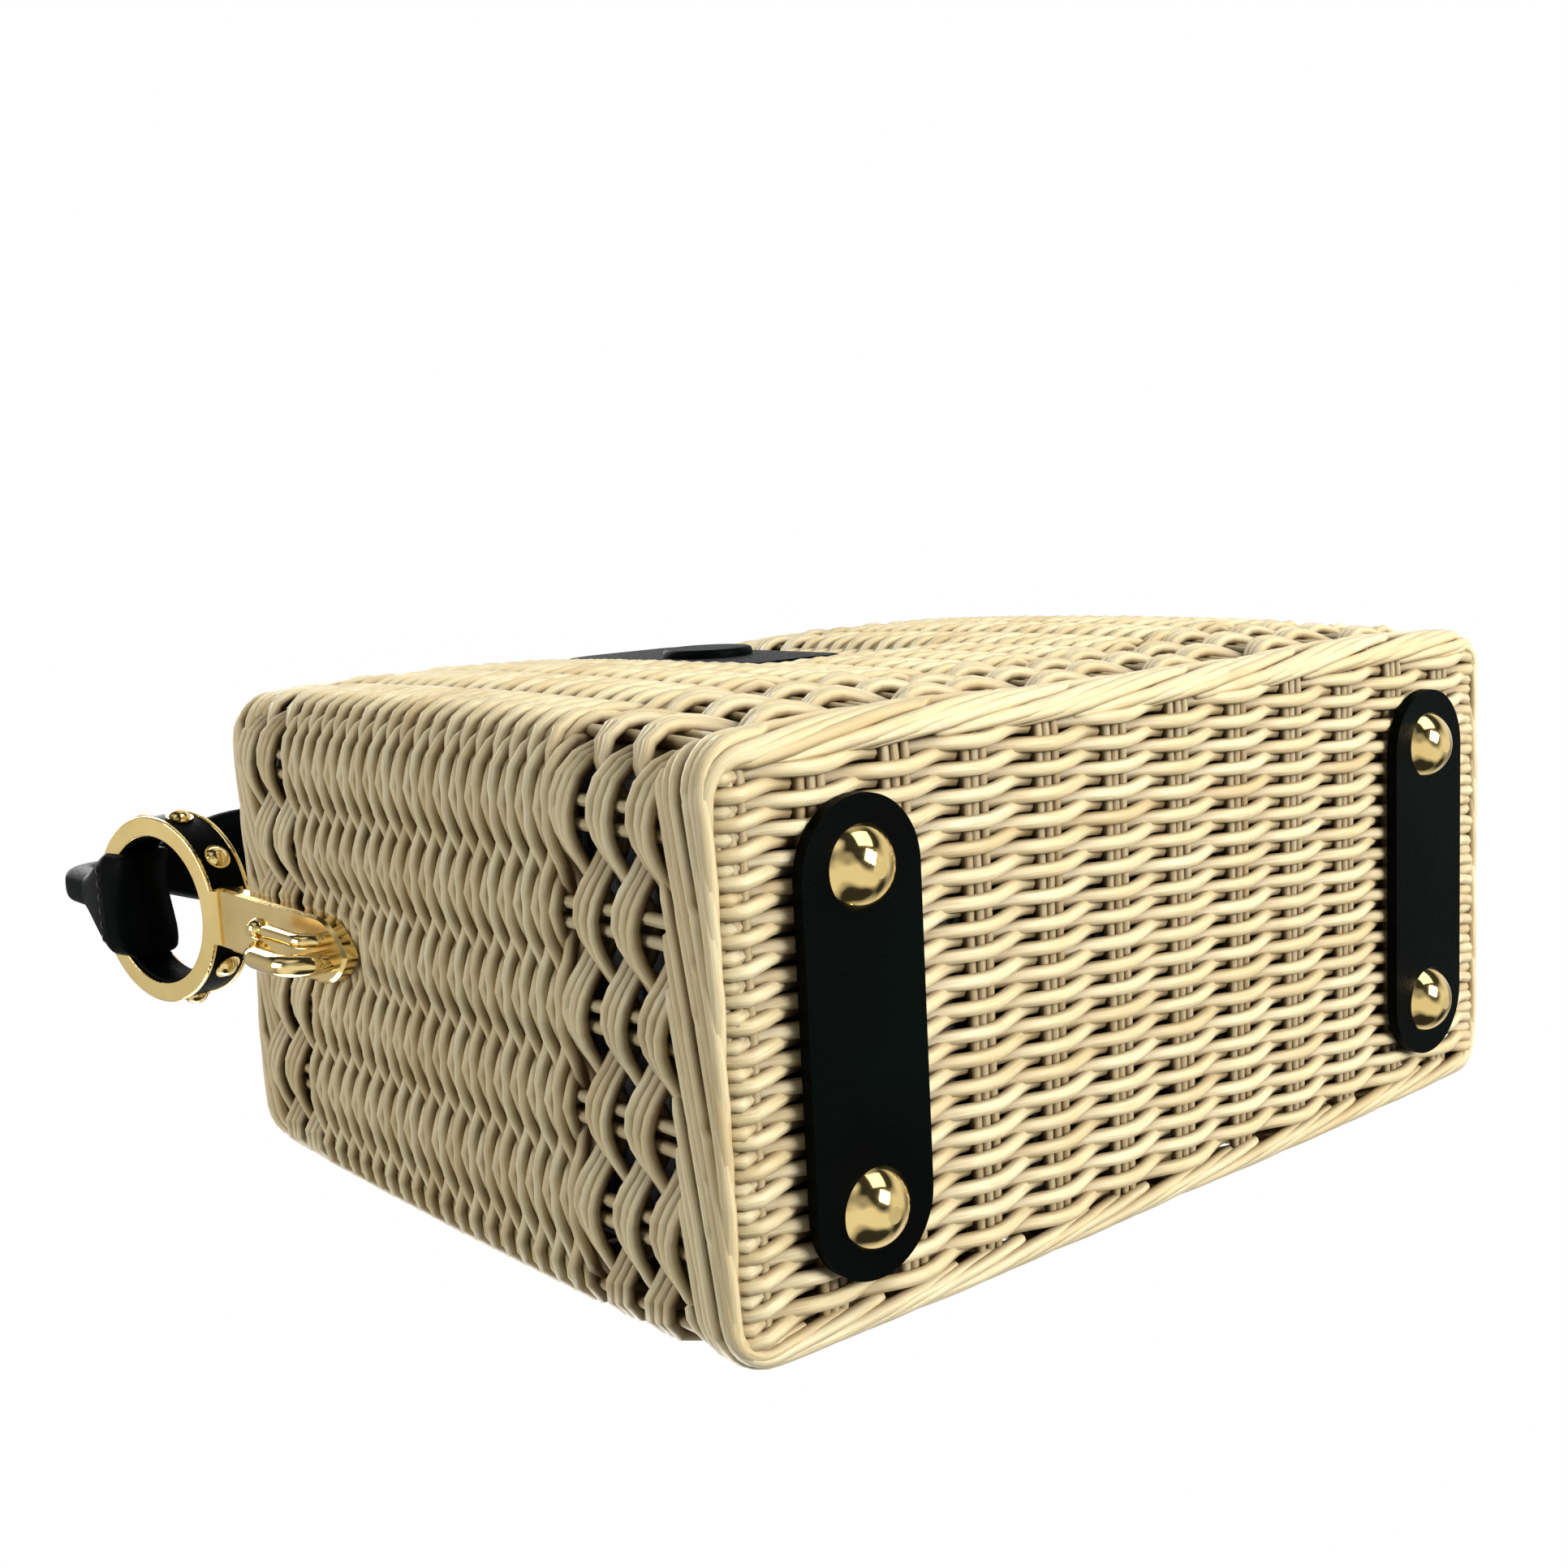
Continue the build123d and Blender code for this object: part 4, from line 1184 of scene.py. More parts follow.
@dataclass
class ClosureStrap:
    """The leather tab that folds over the lid's front edge and down to the magnet."""

    leather: bpy.types.Material
    thread: bpy.types.Material
    half_width: float = 19.0
    back_y: float = -21.5
    top_z: float = 205.0
    front_y: float = -55.0
    end_z: float = 127.0
    bend_radius: float = 4.2
    thickness: float = 2.3

    def path(self) -> Array:
        """The strap's middle line as (y, z) points, from the lid's top to its hanging end."""
        points = [(y, self.top_z) for y in np.linspace(self.back_y, self.front_y + self.bend_radius, 9)]
        centre = (self.front_y + self.bend_radius, self.top_z - self.bend_radius)
        for angle in np.linspace(0, math.pi / 2, 8)[1:]:
            y = centre[0] - self.bend_radius * math.sin(angle)
            points.append((y, centre[1] + self.bend_radius * math.cos(angle)))
        points += [(self.front_y, z) for z in np.linspace(centre[1], self.end_z, 20)[1:]]
        return np.array(points)

    def outline(self, run: float, total: float) -> float:
        """The strap's half width, rounded at both ends."""
        near = min(run, total - run)
        if near >= 7.0:
            return self.half_width
        return self.half_width - 7.0 + math.sqrt(max(49.0 - (7.0 - near) ** 2, 0.09))

    def strap(self) -> bpy.types.Object:
        """The strap, with a crowned face and rolled edges."""
        path = self.path()
        run = distances(path)
        end = run[-1]
        dense = np.concatenate(
            [np.linspace(0, 7, 9), np.linspace(9, end - 9, 44), np.linspace(end - 7, end, 9)]
        )
        rings = []
        for at in dense:
            y, z = (np.interp(at, run, path[:, axis]) for axis in range(2))
            ahead = [
                np.interp(at + 0.5, run, path[:, a]) - np.interp(at - 0.5, run, path[:, a]) for a in range(2)
            ]
            size = math.hypot(*ahead) or 1.0
            out = (ahead[1] / size, -ahead[0] / size)
            shape = section(2 * self.outline(at, run[-1]), self.thickness, 6.0, 32)
            rings.append(np.column_stack([shape[:, 0], y + out[0] * shape[:, 1], z + out[1] * shape[:, 1]]))
        piece = Bench.extruded("closure_strap", rings)
        Bench.smooth(piece, 50)
        return piece

    def stitches(self) -> bpy.types.Object:
        """The stitch line round the strap's edge."""
        skin = RodSkin(5)
        path = self.path()
        run = distances(path)
        at = np.linspace(4, run[-1] - 4, 70)
        ahead = np.column_stack([np.gradient(np.interp(at, run, path[:, axis])) for axis in range(2)])
        ahead /= np.linalg.norm(ahead, axis=1, keepdims=True)
        out = -np.column_stack([np.zeros(len(at)), ahead[:, 1], -ahead[:, 0]])
        spot = np.column_stack([np.interp(at, run, path[:, axis]) for axis in range(2)])
        for edge in (-1, 1):
            line = np.column_stack([np.full(len(at), edge * (self.half_width - 2.6)), spot])
            Stitching().sew(skin, line + out * (self.thickness / 2), out)
        y, z = spot[-1]
        across = np.linspace(-self.half_width + 4.4, self.half_width - 4.4, 12)
        line = np.column_stack([across, np.full(12, y), np.full(12, z + 0.2)])
        Stitching().sew(skin, line + out[-1] * (self.thickness / 2), np.tile(out[-1], (12, 1)))
        return skin.piece("closure_stitches")

    def build(self) -> None:
        """Make the strap and its stitches."""
        finish_piece(self.strap(), self.leather, Slot.LEATHER, Body.LID, "closure_tab")
        finish_piece(self.stitches(), self.thread, Slot.LEATHER, Body.LID)


# ------------------------------------------------------------------ cloth


@dataclass
class Linings:
    """The cloth that lines the basket and the lid."""

    cloth: bpy.types.Material
    half_x: float = 113.2
    half_y: float = 46.7
    floor_z: float = 13.9
    top_z: float = 189.7
    thickness: float = 1.2
    pad_z: float = 196.8
    pad_size: tuple[float, float, float] = (204, 90, 1.0)
    pad_corner: float = 8
    pad_edge: float = 0.35

    def basket_lining(self) -> bpy.types.Object:
        """An open cloth box with rounded corners and a few soft creases."""
        Bench.clear()
        middle = (self.floor_z + self.top_z) / 2
        bpy.ops.mesh.primitive_cube_add(size=1, location=(0, 0, middle * MM))
        piece = bpy.context.object
        piece.name = piece.data.name = "basket_lining"
        piece.scale = (2 * self.half_x * MM, 2 * self.half_y * MM, (self.top_z - self.floor_z) * MM)
        Bench.settle(piece)
        Bench.pick(piece, lambda centre, normal: normal.z > 0.9)
        with Bench.editing(piece):
            bpy.ops.mesh.delete(type="FACE")
            bpy.ops.mesh.select_all(action="DESELECT")
        for edge in piece.data.edges:
            ends = [piece.data.vertices[index].co / MM for index in edge.vertices]
            edge.select = min(end.z for end in ends) < self.top_z - 1
        with Bench.editing(piece):
            bpy.ops.mesh.select_mode(type="EDGE")
            bpy.ops.mesh.bevel(offset=4.5 * MM, segments=4, profile=0.5)
            bpy.ops.mesh.select_all(action="SELECT")
            bpy.ops.mesh.subdivide(number_cuts=7)
        points = Bench.points(piece)
        x, y, z = points.T
        crease = np.sin(x * 0.09 + z * 0.04) * np.sin(z * 0.061 + y * 0.05)
        inside = np.clip((self.top_z - z) / 20, 0, 1)
        points[:, 0] -= np.sign(x) * (0.45 + 0.45 * crease) * inside * (np.abs(x) > self.half_x - 9)
        points[:, 1] -= np.sign(y) * (0.45 + 0.45 * crease) * inside * (np.abs(y) > self.half_y - 9)
        Bench.place_points(piece, points)
        Bench.face_out(piece)
        Bench.apply(piece, "SOLIDIFY", thickness=self.thickness * MM, offset=-1)
        Bench.smooth(piece, 60)
        return piece

    def lid_pad(self) -> bpy.types.Object:
        """The lid's cloth-covered board, with softened edges."""
        Bench.clear()
        bpy.ops.mesh.primitive_cube_add(size=1, location=(0, 0, self.pad_z * MM))
        piece = bpy.context.object
        piece.name = piece.data.name = "lid_board"
        piece.scale = tuple(size * MM for size in self.pad_size)
        Bench.settle(piece)
        for edge in piece.data.edges:
            ends = [piece.data.vertices[index].co for index in edge.vertices]
            edge.select = abs(ends[0].z - ends[1].z) > 0.5 * MM
        with Bench.editing(piece):
            bpy.ops.mesh.select_mode(type="EDGE")
            bpy.ops.mesh.bevel(offset=self.pad_corner * MM, segments=5, profile=0.5)
        Bench.apply(piece, "BEVEL", width=self.pad_edge * MM, segments=3, limit_method="ANGLE")
        Bench.smooth(piece, 60)
        return piece

    def build(self) -> None:
        """Make both linings."""
        finish_piece(self.basket_lining(), self.cloth, Slot.CLOTH, Body.BAG, "lining")
        finish_piece(self.lid_pad(), self.cloth, Slot.CLOTH, Body.LID, "lid_lining")


# ------------------------------------------------------------------ finishes


class Graph:
    """A node tree being wired up."""

    def __init__(self, tree: bpy.types.NodeTree) -> None:
        """Take the tree."""
        self.tree = tree

    def add(
        self, kind: str, inputs: dict[str | int, object] | None = None, **settings: object
    ) -> bpy.types.Node:
        """Add a node.

        Args:
            kind: The node's type, without the ShaderNode prefix.
            inputs: Values or sockets for its inputs, by name or number.
            settings: Values of its own properties.

        Returns:
            The node.
        """
        name = kind if kind.startswith("NodeGroup") else f"ShaderNode{kind}"
        node = self.tree.nodes.new(name)
        for key, value in settings.items():
            setattr(node, key, value)
        for key, value in (inputs or {}).items():
            if isinstance(value, bpy.types.NodeSocket):
                self.tree.links.new(value, node.inputs[key])
            else:
                node.inputs[key].default_value = value
        return node

    def wire(self, node: bpy.types.Node, **sockets: bpy.types.NodeSocket) -> None:
        """Link sockets to a node's inputs, with underscores for spaces in their names."""
        for name, socket in sockets.items():
            self.tree.links.new(socket, node.inputs[name.replace("_", " ")])

    def math(self, operation: str, first: object, second: object = 0.0) -> bpy.types.NodeSocket:
        """A Math node's output."""
        return self.add("Math", {0: first, 1: second}, operation=operation).outputs[0]

    def span(
        self, value: object, low: float, high: float, new_low: float, new_high: float
    ) -> bpy.types.NodeSocket:
        """A value moved from one range to another, and held inside it."""
        inputs = {"Value": value, "From Min": low, "From Max": high, "To Min": new_low, "To Max": new_high}
        return self.add("MapRange", inputs).outputs["Result"]

    def mix(self, factor: object, first: object, second: object) -> bpy.types.NodeSocket:
        """A colour mix's output."""
        return self.add("Mix", {0: factor, 6: first, 7: second}, data_type="RGBA").outputs[2]

    def noise(
        self, vector: object, scale: float, detail: float = 3.0, rough: float = 0.55
    ) -> bpy.types.NodeSocket:
        """A noise texture's value."""
        inputs = {"Vector": vector, "Scale": scale, "Detail": detail, "Roughness": rough}
        return self.add("TexNoise", inputs).outputs[0]


def rgb(red: float, green: float, blue: float) -> tuple[float, float, float, float]:
    """A colour with full alpha."""
    return (red, green, blue, 1.0)


class Effects:
    """The shader groups that several finishes share."""

    def __init__(self) -> None:
        """Build each group once."""
        self.fibre = self._fibre()
        self.grain = self._grain()
        self.wear = self._wear()
        self.weave = self._weave()

    @staticmethod
    def _group(
        name: str, ins: dict[str, str], outs: dict[str, str]
    ) -> tuple[bpy.types.NodeTree, Graph, bpy.types.Node, bpy.types.Node]:
        """A new group with its sockets, and its input and output nodes."""
        tree = bpy.data.node_groups.new(name, "ShaderNodeTree")
        for label, kind in ins.items():
            tree.interface.new_socket(label, in_out="INPUT", socket_type=kind)
        for label, kind in outs.items():
            tree.interface.new_socket(label, in_out="OUTPUT", socket_type=kind)
        graph = Graph(tree)
        return tree, graph, graph.add("NodeGroupInput"), graph.add("NodeGroupOutput")

    def _fibre(self) -> bpy.types.NodeTree:
        """Long streaks and stains that follow a strand."""
        tree, graph, enter, leave = self._group(
            "strand_fibre",
            {"Along": "NodeSocketVector", "Place": "NodeSocketVector"},
            {"Streak": "NodeSocketFloat", "Stain": "NodeSocketFloat", "Relief": "NodeSocketFloat"},
        )
        streak = graph.noise(enter.outputs["Along"], 3.2, 4.0, 0.6)
        fine = graph.noise(enter.outputs["Along"], 11.0, 3.0, 0.65)
        stain = graph.noise(enter.outputs["Place"], 46.0, 4.0, 0.6)
        relief = graph.math("ADD", graph.math("MULTIPLY", streak, 0.7), graph.math("MULTIPLY", fine, 0.5))
        graph.wire(leave, Streak=streak, Stain=stain, Relief=relief)
        return tree

    def _grain(self) -> bpy.types.NodeTree:
        """Fine leather pebbling with a few wider creases, and soft patches that place a painted sheen."""
        tree, graph, enter, leave = self._group(
            "leather_grain",
            {"Place": "NodeSocketVector", "Pebbles": "NodeSocketFloat"},
            {"Relief": "NodeSocketFloat", "Hollow": "NodeSocketFloat", "Bloom": "NodeSocketFloat"},
        )
        cells = graph.add(
            "TexVoronoi",
            {"Vector": enter.outputs["Place"], "Scale": enter.outputs["Pebbles"]},
            feature="SMOOTH_F1",
        ).outputs["Distance"]
        crease = graph.noise(enter.outputs["Place"], 240.0, 5.0, 0.65)
        # Soft patches for the leather's painted sheen.
        bloom = graph.noise(enter.outputs["Place"], 30.0, 3.0, 0.5)
        hollow = graph.span(cells, 0.15, 0.75, 0.0, 1.0)
        creased = graph.math("MULTIPLY", crease, 0.6)
        relief = graph.math("SUBTRACT", creased, graph.math("MULTIPLY", hollow, 0.55))
        graph.wire(leave, Relief=relief, Hollow=hollow, Bloom=bloom)
        return tree

    def _wear(self) -> bpy.types.NodeTree:
        """Hairlines and handling marks on metal."""
        tree, graph, enter, leave = self._group(
            "handling_marks",
            {"Place": "NodeSocketVector"},
            {"Hairline": "NodeSocketFloat", "Smudge": "NodeSocketFloat"},
        )
        inputs = {"Vector": enter.outputs["Place"], "Scale": (1.0, 7.0, 0.6)}
        stretched = graph.add("Mapping", inputs).outputs[0]
        hairline = graph.noise(stretched, 900.0, 2.0, 0.7)
        smudge = graph.noise(enter.outputs["Place"], 70.0, 4.0, 0.6)
        graph.wire(leave, Hairline=graph.span(hairline, 0.35, 0.7, 0.0, 1.0), Smudge=smudge)
        return tree

    def _weave(self) -> bpy.types.NodeTree:
        """A plain cloth weave on the three main planes."""
        tree, graph, enter, leave = self._group(
            "plain_weave",
            {"Place": "NodeSocketVector", "Threads": "NodeSocketFloat"},
            {"Relief": "NodeSocketFloat"},
        )
        waves = []
        for axis in ("X", "Y", "Z"):
            inputs = {"Vector": enter.outputs["Place"], "Scale": enter.outputs["Threads"], "Distortion": 0.15}
            wave = graph.add("TexWave", inputs, bands_direction=axis)
            waves.append(wave.outputs[1])
        total = graph.math("ADD", graph.math("ADD", waves[0], waves[1]), waves[2])
        graph.wire(leave, Relief=graph.math("MULTIPLY", total, 0.33))
        return tree


class Finish:
    """A base for finishes: one material with its Principled shader ready."""

    name = "finish"

    def start(self) -> tuple[bpy.types.Material, Graph, bpy.types.Node, bpy.types.NodeSocket]:
        """A new material, its graph, its shader and its object coordinates."""
        material = bpy.data.materials.new(self.name)
        material.use_nodes = True
        material.node_tree.nodes.clear()
        graph = Graph(material.node_tree)
        shader = graph.add("BsdfPrincipled")
        graph.add("OutputMaterial", {"Surface": shader.outputs[0]})
        return material, graph, shader, graph.add("TexCoord").outputs["Object"]

    @staticmethod
    def bump(
        graph: Graph, height: bpy.types.NodeSocket, distance: float, strength: float
    ) -> bpy.types.NodeSocket:
        """A bump normal from a height."""
        return graph.add("Bump", {"Height": height, "Distance": distance, "Strength": strength}).outputs[0]


@dataclass(frozen=True)
class Rattan(Finish):
    """Peeled rattan: cream, with each strand its own tone and long fibre streaks, and painted shade where the
    rods lie deep in the weave.
    """

    name: str = "peeled_rattan"
    pale: tuple[float, ...] = rgb(0.76, 0.62, 0.35)
    warm: tuple[float, ...] = rgb(0.58, 0.41, 0.18)
    bright: tuple[float, ...] = rgb(0.87, 0.76, 0.48)
    stain: tuple[float, ...] = rgb(0.36, 0.24, 0.10)
    shade: tuple[float, ...] = rgb(0.14, 0.07, 0.016)

    def build(self, effects: Effects) -> bpy.types.Material:
        """Make the material."""
        material, graph, shader, place = self.start()
        tone = graph.add("Attribute", attribute_name="strand_tone").outputs["Fac"]
        along = graph.add("Attribute", attribute_name="strand_fibre").outputs["Vector"]
        fibre = graph.add("Group", {"Along": along, "Place": place}, node_tree=effects.fibre)
        base = graph.mix(graph.span(tone, 0.0, 1.0, 0.0, 0.9), self.pale, self.bright)
        odd = graph.span(graph.math("FRACT", graph.math("MULTIPLY", tone, 13.0)), 0.8, 1.0, 0.0, 0.55)
        base = graph.mix(odd, base, self.warm)
        base = graph.mix(graph.span(fibre.outputs["Streak"], 0.48, 0.75, 0.0, 0.6), base, self.warm)
        base = graph.mix(graph.span(fibre.outputs["Stain"], 0.6, 0.85, 0.0, 0.45), base, self.stain)
        # Painted shade: the rods turn dark brown where they lie deep in the weave and on their inner sides.
        painted_shade = graph.add("Attribute", attribute_name="strand_painted_shade").outputs["Fac"]
        base = graph.mix(graph.span(painted_shade, 0.18, 0.82, 0.0, 0.9), base, self.shade)
        rough = graph.span(fibre.outputs["Streak"], 0.3, 0.7, 0.3, 0.46)
        normal = self.bump(graph, fibre.outputs["Relief"], 0.0004, 0.5)
        graph.wire(shader, Base_Color=base, Roughness=rough, Normal=normal)
        shader.inputs["Specular IOR Level"].default_value = 0.42
        return material


@dataclass(frozen=True)
class BlackLeather(Finish):
    """Smooth black calf leather, with a faint cold sheen painted into its colour as greenish patches."""

    name: str = "black_calf"
    dark: tuple[float, ...] = rgb(0.0007, 0.0009, 0.0009)
    bloom: tuple[float, ...] = rgb(0.0008, 0.0028, 0.0022)
    pebbles: float = 1500.0

    def build(self, effects: Effects) -> bpy.types.Material:
        """Make the material."""
        material, graph, shader, place = self.start()
        grain = graph.add("Group", {"Place": place, "Pebbles": self.pebbles}, node_tree=effects.grain)
        # Painted sheen: greenish patches mixed into the black base colour.
        base = graph.mix(graph.span(grain.outputs["Bloom"], 0.35, 0.7, 0.0, 1.0), self.dark, self.bloom)
        rough = graph.span(grain.outputs["Hollow"], 0.0, 1.0, 0.36, 0.52)
        normal = self.bump(graph, grain.outputs["Relief"], 0.00025, 0.3)
        graph.wire(shader, Base_Color=base, Roughness=rough, Normal=normal)
        shader.inputs["Specular IOR Level"].default_value = 0.02
        return material


@dataclass(frozen=True)
class PolishedGold(Finish):
    """Pale gold plating, mirror-bright on its rounds and satin on its flats."""

    name: str = "pale_gold"
    gold: tuple[float, ...] = rgb(0.80, 0.61, 0.26)
    worn: tuple[float, ...] = rgb(0.64, 0.46, 0.15)
    satin_flats: bool = False

    def build(self, effects: Effects) -> bpy.types.Material:
        """Make the material."""
        material, graph, shader, place = self.start()
        marks = graph.add("Group", {"Place": place}, node_tree=effects.wear)
        base = graph.mix(graph.span(marks.outputs["Smudge"], 0.35, 0.75, 0.0, 0.6), self.gold, self.worn)
        rough = graph.span(marks.outputs["Hairline"], 0.0, 1.0, 0.07, 0.14)
        if self.satin_flats:
            normal = graph.add("SeparateXYZ", {0: graph.add("NewGeometry").outputs["True Normal"]}).outputs[0]
            flat = graph.span(graph.math("ABSOLUTE", normal), 0.955, 0.965, 0.0, 0.22)
            rough = graph.math("ADD", rough, flat)
        polish = self.bump(graph, marks.outputs["Smudge"], 0.00012, 0.12)
        graph.wire(shader, Base_Color=base, Roughness=rough, Normal=polish)
        shader.inputs["Metallic"].default_value = 1.0
        return material


@dataclass(frozen=True)
class LiningCloth(Finish):
    """Black plain-weave lining cloth."""

    name: str = "black_lining"
    dark: tuple[float, ...] = rgb(0.008, 0.008, 0.009)
    lit: tuple[float, ...] = rgb(0.028, 0.028, 0.03)
    threads: float = 330.0

    def build(self, effects: Effects) -> bpy.types.Material:
        """Make the material."""
        material, graph, shader, place = self.start()
        weave = graph.add("Group", {"Place": place, "Threads": self.threads}, node_tree=effects.weave)
        base = graph.mix(weave.outputs["Relief"], self.dark, self.lit)
        normal = self.bump(graph, weave.outputs["Relief"], 0.0003, 0.5)
        rough = graph.span(weave.outputs["Relief"], 0.0, 1.0, 0.85, 0.7)
        graph.wire(shader, Base_Color=base, Roughness=rough, Normal=normal)
        shader.inputs["Sheen Weight"].default_value = 0.25
        return material


@dataclass(frozen=True)
class PlainSteel(Finish):
    """Plain steel for what is hidden: magnets, washers, screws and pins."""

    name: str = "plain_steel"

    def build(self, effects: Effects) -> bpy.types.Material:
        """Make the material."""
        material, graph, shader, place = self.start()
        marks = graph.add("Group", {"Place": place}, node_tree=effects.wear)
        base = graph.mix(marks.outputs["Smudge"], rgb(0.42, 0.43, 0.44), rgb(0.6, 0.6, 0.61))
        rough = graph.span(marks.outputs["Smudge"], 0.3, 0.7, 0.3, 0.42)
        brushed = self.bump(graph, marks.outputs["Smudge"], 0.0002, 0.2)
        graph.wire(shader, Base_Color=base, Roughness=rough, Normal=brushed)
        shader.inputs["Metallic"].default_value = 1.0
        return material


@dataclass(frozen=True)
class WaxedThread(Finish):
    """Dark waxed thread, a little paler than the leather."""

    name: str = "waxed_thread"

    def build(self, effects: Effects) -> bpy.types.Material:
        """Make the material."""
        material, graph, shader, place = self.start()
        along = graph.add("Attribute", attribute_name="strand_fibre").outputs["Vector"]
        fibre = graph.add("Group", {"Along": along, "Place": place}, node_tree=effects.fibre)
        base = graph.mix(fibre.outputs["Streak"], rgb(0.05, 0.05, 0.045), rgb(0.16, 0.155, 0.13))
        graph.wire(shader, Base_Color=base)
        shader.inputs["Roughness"].default_value = 0.6
        return material


# ------------------------------------------------------------------ fittings and studio


@dataclass
class Fittings:
    """Gives the frame's own metal and leather nodes their finishes."""

    gold: bpy.types.Material
    satin: bpy.types.Material
    leather: bpy.types.Material
    steel: bpy.types.Material
    cloth: bpy.types.Material

    def finish_for(self, node: str, slot: str) -> bpy.types.Material:
        """The finish of one node."""
        if slot == Slot.GOLD.value:
            return self.satin if "bracket" in node else self.gold
        if slot == Slot.LEATHER.value:
            return self.leather
        return self.cloth if slot == Slot.CLOTH.value else self.steel

    def build(self) -> None:
        """Dress every node of the frame."""
        slots = {row["node"]: row["material_slot"] for row in frame["record"]["subparts"]}
        for name, node in frame["nodes"].items():
            finish = self.finish_for(name, slots[name])
            if not node.material_slots:
                node.data.materials.append(finish)
            for slot in node.material_slots:
                slot.material = finish
            LOG.info("%s: %s", name, finish.name)


@dataclass(frozen=True)
class Lamp:
    """A square soft light: its place and size in metres, and its power in watts."""

    name: str
    place: tuple[float, float, float]
    size: float
    power: float


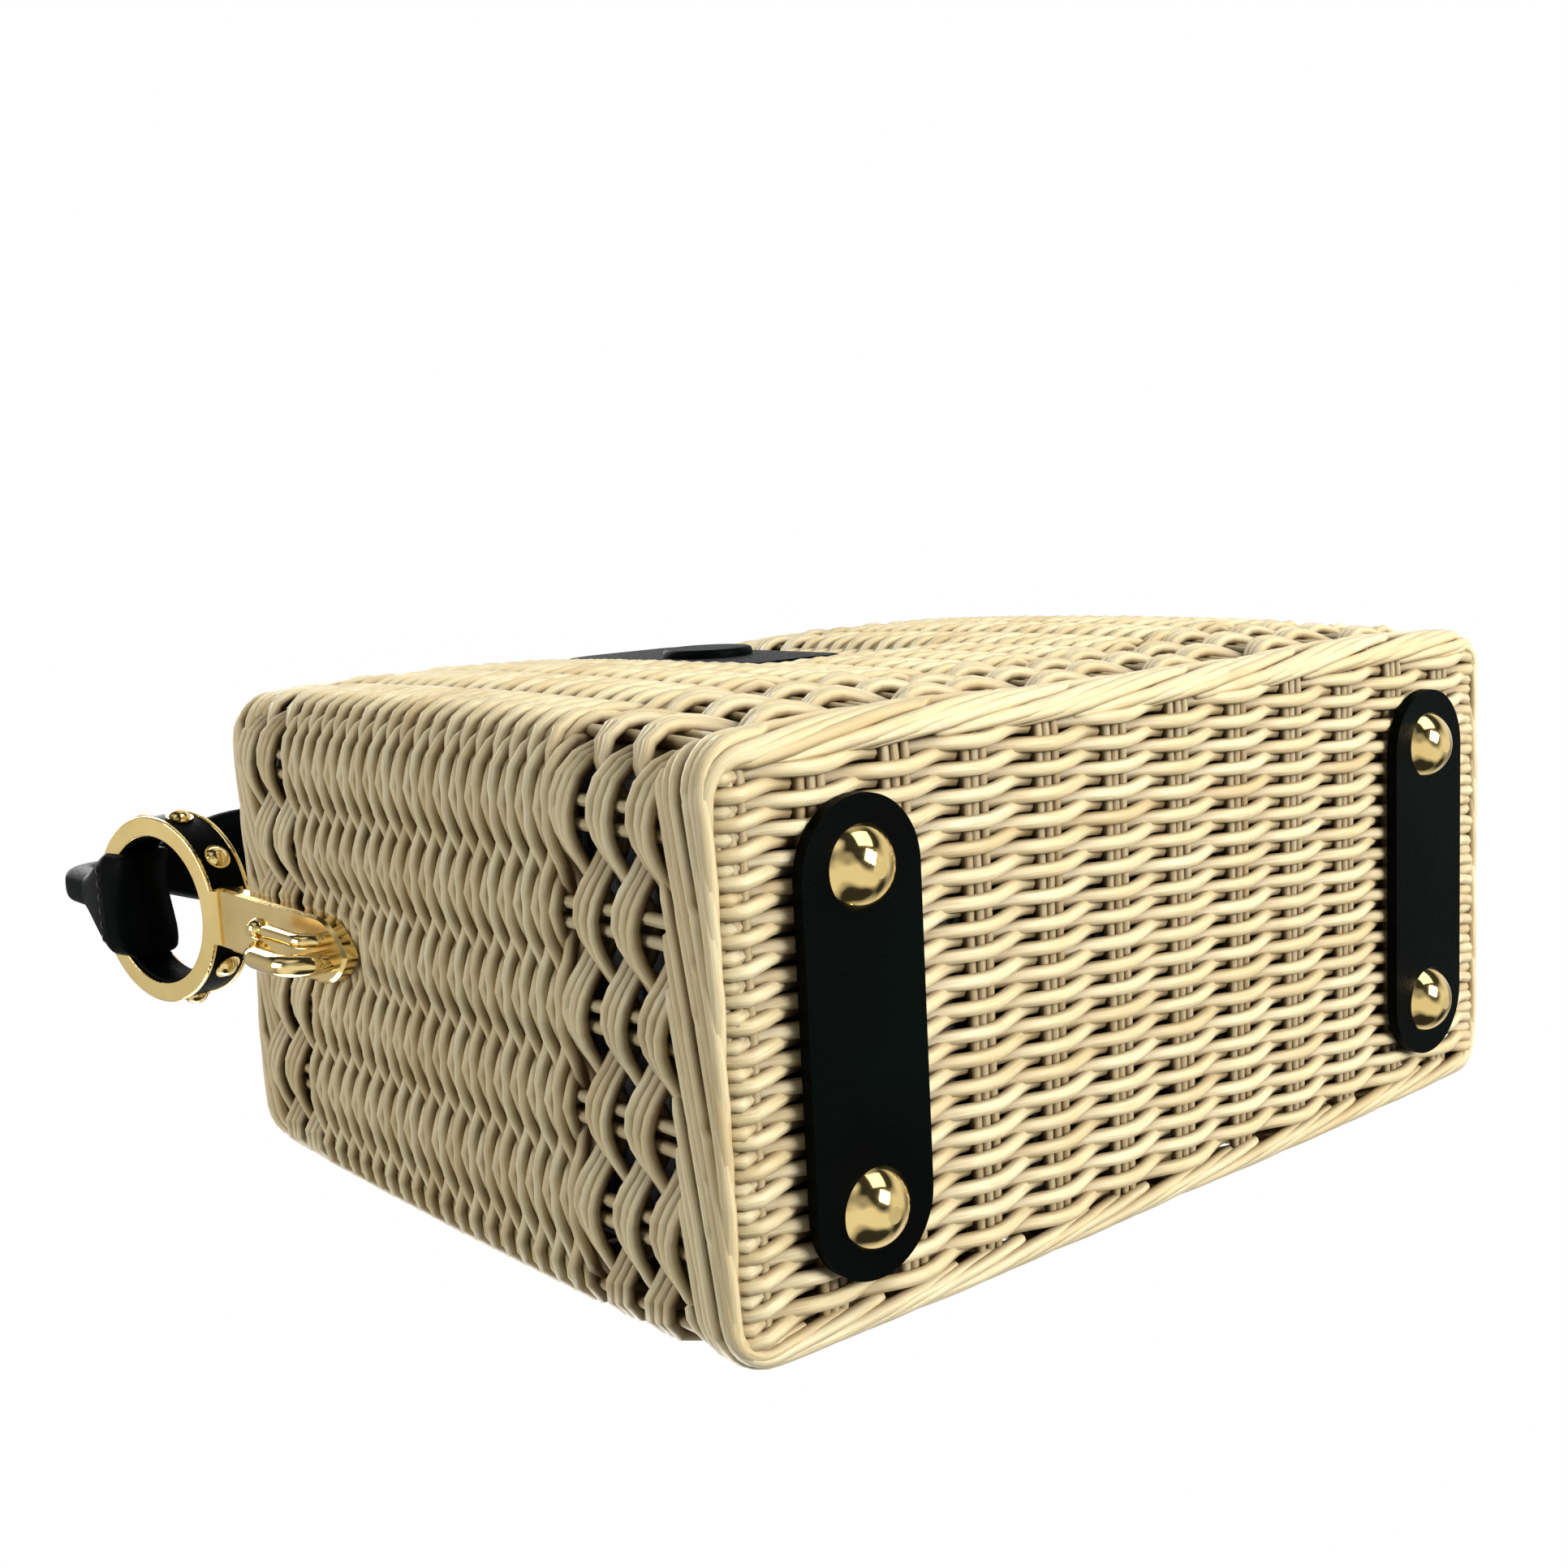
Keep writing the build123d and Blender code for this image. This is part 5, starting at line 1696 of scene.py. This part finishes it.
@dataclass
class Studio:
    """The camera, the soft lights and the pale floor."""

    eye: tuple[float, float, float] = (-300.0, -91.3, -226.0)
    right: tuple[float, float, float] = (0.76249, 0.04942, -0.64511)
    down: tuple[float, float, float] = (-0.13020, 0.98840, -0.07816)
    lens: float = 41.95
    lamp_aim: tuple[float, float, float] = (0, 0, 0.1)
    lamps: tuple[Lamp, ...] = (
        Lamp("front_window", (0.3, -1.0, -0.5), 0.7, 4.0),
        Lamp("low_window", (0.3, -0.42, -1.05), 0.5, 18.0),
        Lamp("top_window", (0.1, -0.4, 1.3), 0.9, 13.0),
        Lamp("left_window", (-1.2, -0.2, 0.45), 0.6, 7.4),
        Lamp("back_window", (-0.2, 1.2, 0.7), 0.9, 10.0),
    )

    def camera(self) -> None:
        """Set up the camera, which looks up at the bag from below its left end."""
        data = bpy.data.cameras.new("camera")
        data.lens = self.lens
        data.sensor_width = 36.0
        data.clip_start = 0.01
        data.clip_end = 50.0
        camera = bpy.data.objects.new("camera", data)
        bpy.context.scene.collection.objects.link(camera)
        right = Vector(self.right).normalized()
        up = -Vector(self.down).normalized()
        back = right.cross(up).normalized()
        up = back.cross(right)
        turn = Matrix((right, up, back)).transposed().to_4x4()
        camera.matrix_world = Matrix.Translation(Vector(self.eye) * MM) @ turn
        bpy.context.scene.camera = camera

    def light(self, lamp: Lamp) -> None:
        """Hang one lamp, turned towards the bag."""
        data = bpy.data.lights.new(lamp.name, "AREA")
        data.shape = "SQUARE"
        data.size = lamp.size
        data.energy = lamp.power
        light = bpy.data.objects.new(lamp.name, data)
        bpy.context.scene.collection.objects.link(light)
        way = Vector(self.lamp_aim) - Vector(lamp.place)
        turn = way.to_track_quat("-Z", "Y").to_matrix().to_4x4()
        light.matrix_world = Matrix.Translation(Vector(lamp.place)) @ turn

    def floor(self) -> None:
        """Lay the pale floor, seen only from above."""
        Bench.clear()
        bpy.ops.mesh.primitive_plane_add(size=6.0, location=(0, 0, 0))
        floor = bpy.context.object
        floor.name = "floor"
        material = bpy.data.materials.new("pale_floor")
        material.use_nodes = True
        material.node_tree.nodes.clear()
        graph = Graph(material.node_tree)
        inputs = {"Base Color": rgb(0.7, 0.7, 0.7), "Roughness": 0.7, "Emission Strength": 0.45}
        shader = graph.add("BsdfPrincipled", inputs)
        clear = graph.add("BsdfTransparent")
        behind = graph.add("NewGeometry").outputs["Backfacing"]
        mixed = graph.add("MixShader", {0: behind, 1: shader.outputs[0], 2: clear.outputs[0]})
        graph.add("OutputMaterial", {"Surface": mixed.outputs[0]})
        floor.data.materials.append(material)
        floor.visible_shadow = False
        floor.visible_diffuse = False
        floor.visible_glossy = False

    def surroundings(self) -> None:
        """A white backdrop to the eye, and a softer one to the bag."""
        world = bpy.data.worlds.new("studio")
        bpy.context.scene.world = world
        world.use_nodes = True
        world.node_tree.nodes.clear()
        graph = Graph(world.node_tree)
        way = graph.add("TexCoord").outputs["Generated"]
        parts = graph.add("SeparateXYZ", {0: way}).outputs
        front = graph.span(parts[1], -0.9, 0.4, 1.0, 0.0)
        shade = graph.mix(front, rgb(0.22, 0.22, 0.22), rgb(0.8, 0.8, 0.8))
        side = graph.span(parts[0], -0.8, 0.3, 0.45, 1.0)
        soft = graph.add("Background", {"Color": shade, "Strength": graph.math("MULTIPLY", side, 0.42)})
        patches = graph.span(graph.noise(way, 1.15, 0.6, 0.5), 0.42, 0.60, 0.04, 1.0)
        toward = graph.add("VectorMath", {0: way, 1: (-0.63, 0.14, 0.76)}, operation="DOT_PRODUCT")
        aim = toward.outputs["Value"]
        patches = graph.math("MAXIMUM", patches, graph.span(aim, 0.70, 0.95, 0.0, 0.6))
        glints = graph.add("Background", {"Color": rgb(1, 1, 1), "Strength": patches})
        white = graph.add("Background", {"Color": rgb(1, 1, 1), "Strength": 1.0})
        path = graph.add("LightPath").outputs
        lit = graph.add("MixShader", {0: path["Is Glossy Ray"], 1: soft.outputs[0], 2: glints.outputs[0]})
        mixed = graph.add("MixShader", {0: path["Is Camera Ray"], 1: lit.outputs[0], 2: white.outputs[0]})
        graph.add("OutputWorld", {"Surface": mixed.outputs[0]})

    def build(self) -> None:
        """Set the whole studio up."""
        self.camera()
        self.floor()
        self.surroundings()
        for lamp in self.lamps:
            self.light(lamp)
        bpy.context.scene.view_settings.view_transform = "Standard"


def main() -> None:
    """Build the studio and every piece of the bag."""
    logging.basicConfig(level=logging.INFO, format="%(name)s: %(message)s", stream=sys.stdout)
    Studio().build()
    effects = Effects()
    rattan = Rattan().build(effects)
    leather = BlackLeather().build(effects)
    thread = WaxedThread().build(effects)
    gold = PolishedGold().build(effects)
    satin = PolishedGold(name="satin_gold", satin_flats=True).build(effects)
    cloth = LiningCloth().build(effects)
    steel = PlainSteel().build(effects)
    Fittings(gold, satin, leather, steel, cloth).build()
    Basket(rattan).build()
    Handle(leather, thread).build()
    ClosureStrap(leather, thread).build()
    Linings(cloth).build()


if __name__ == "__main__":
    main()
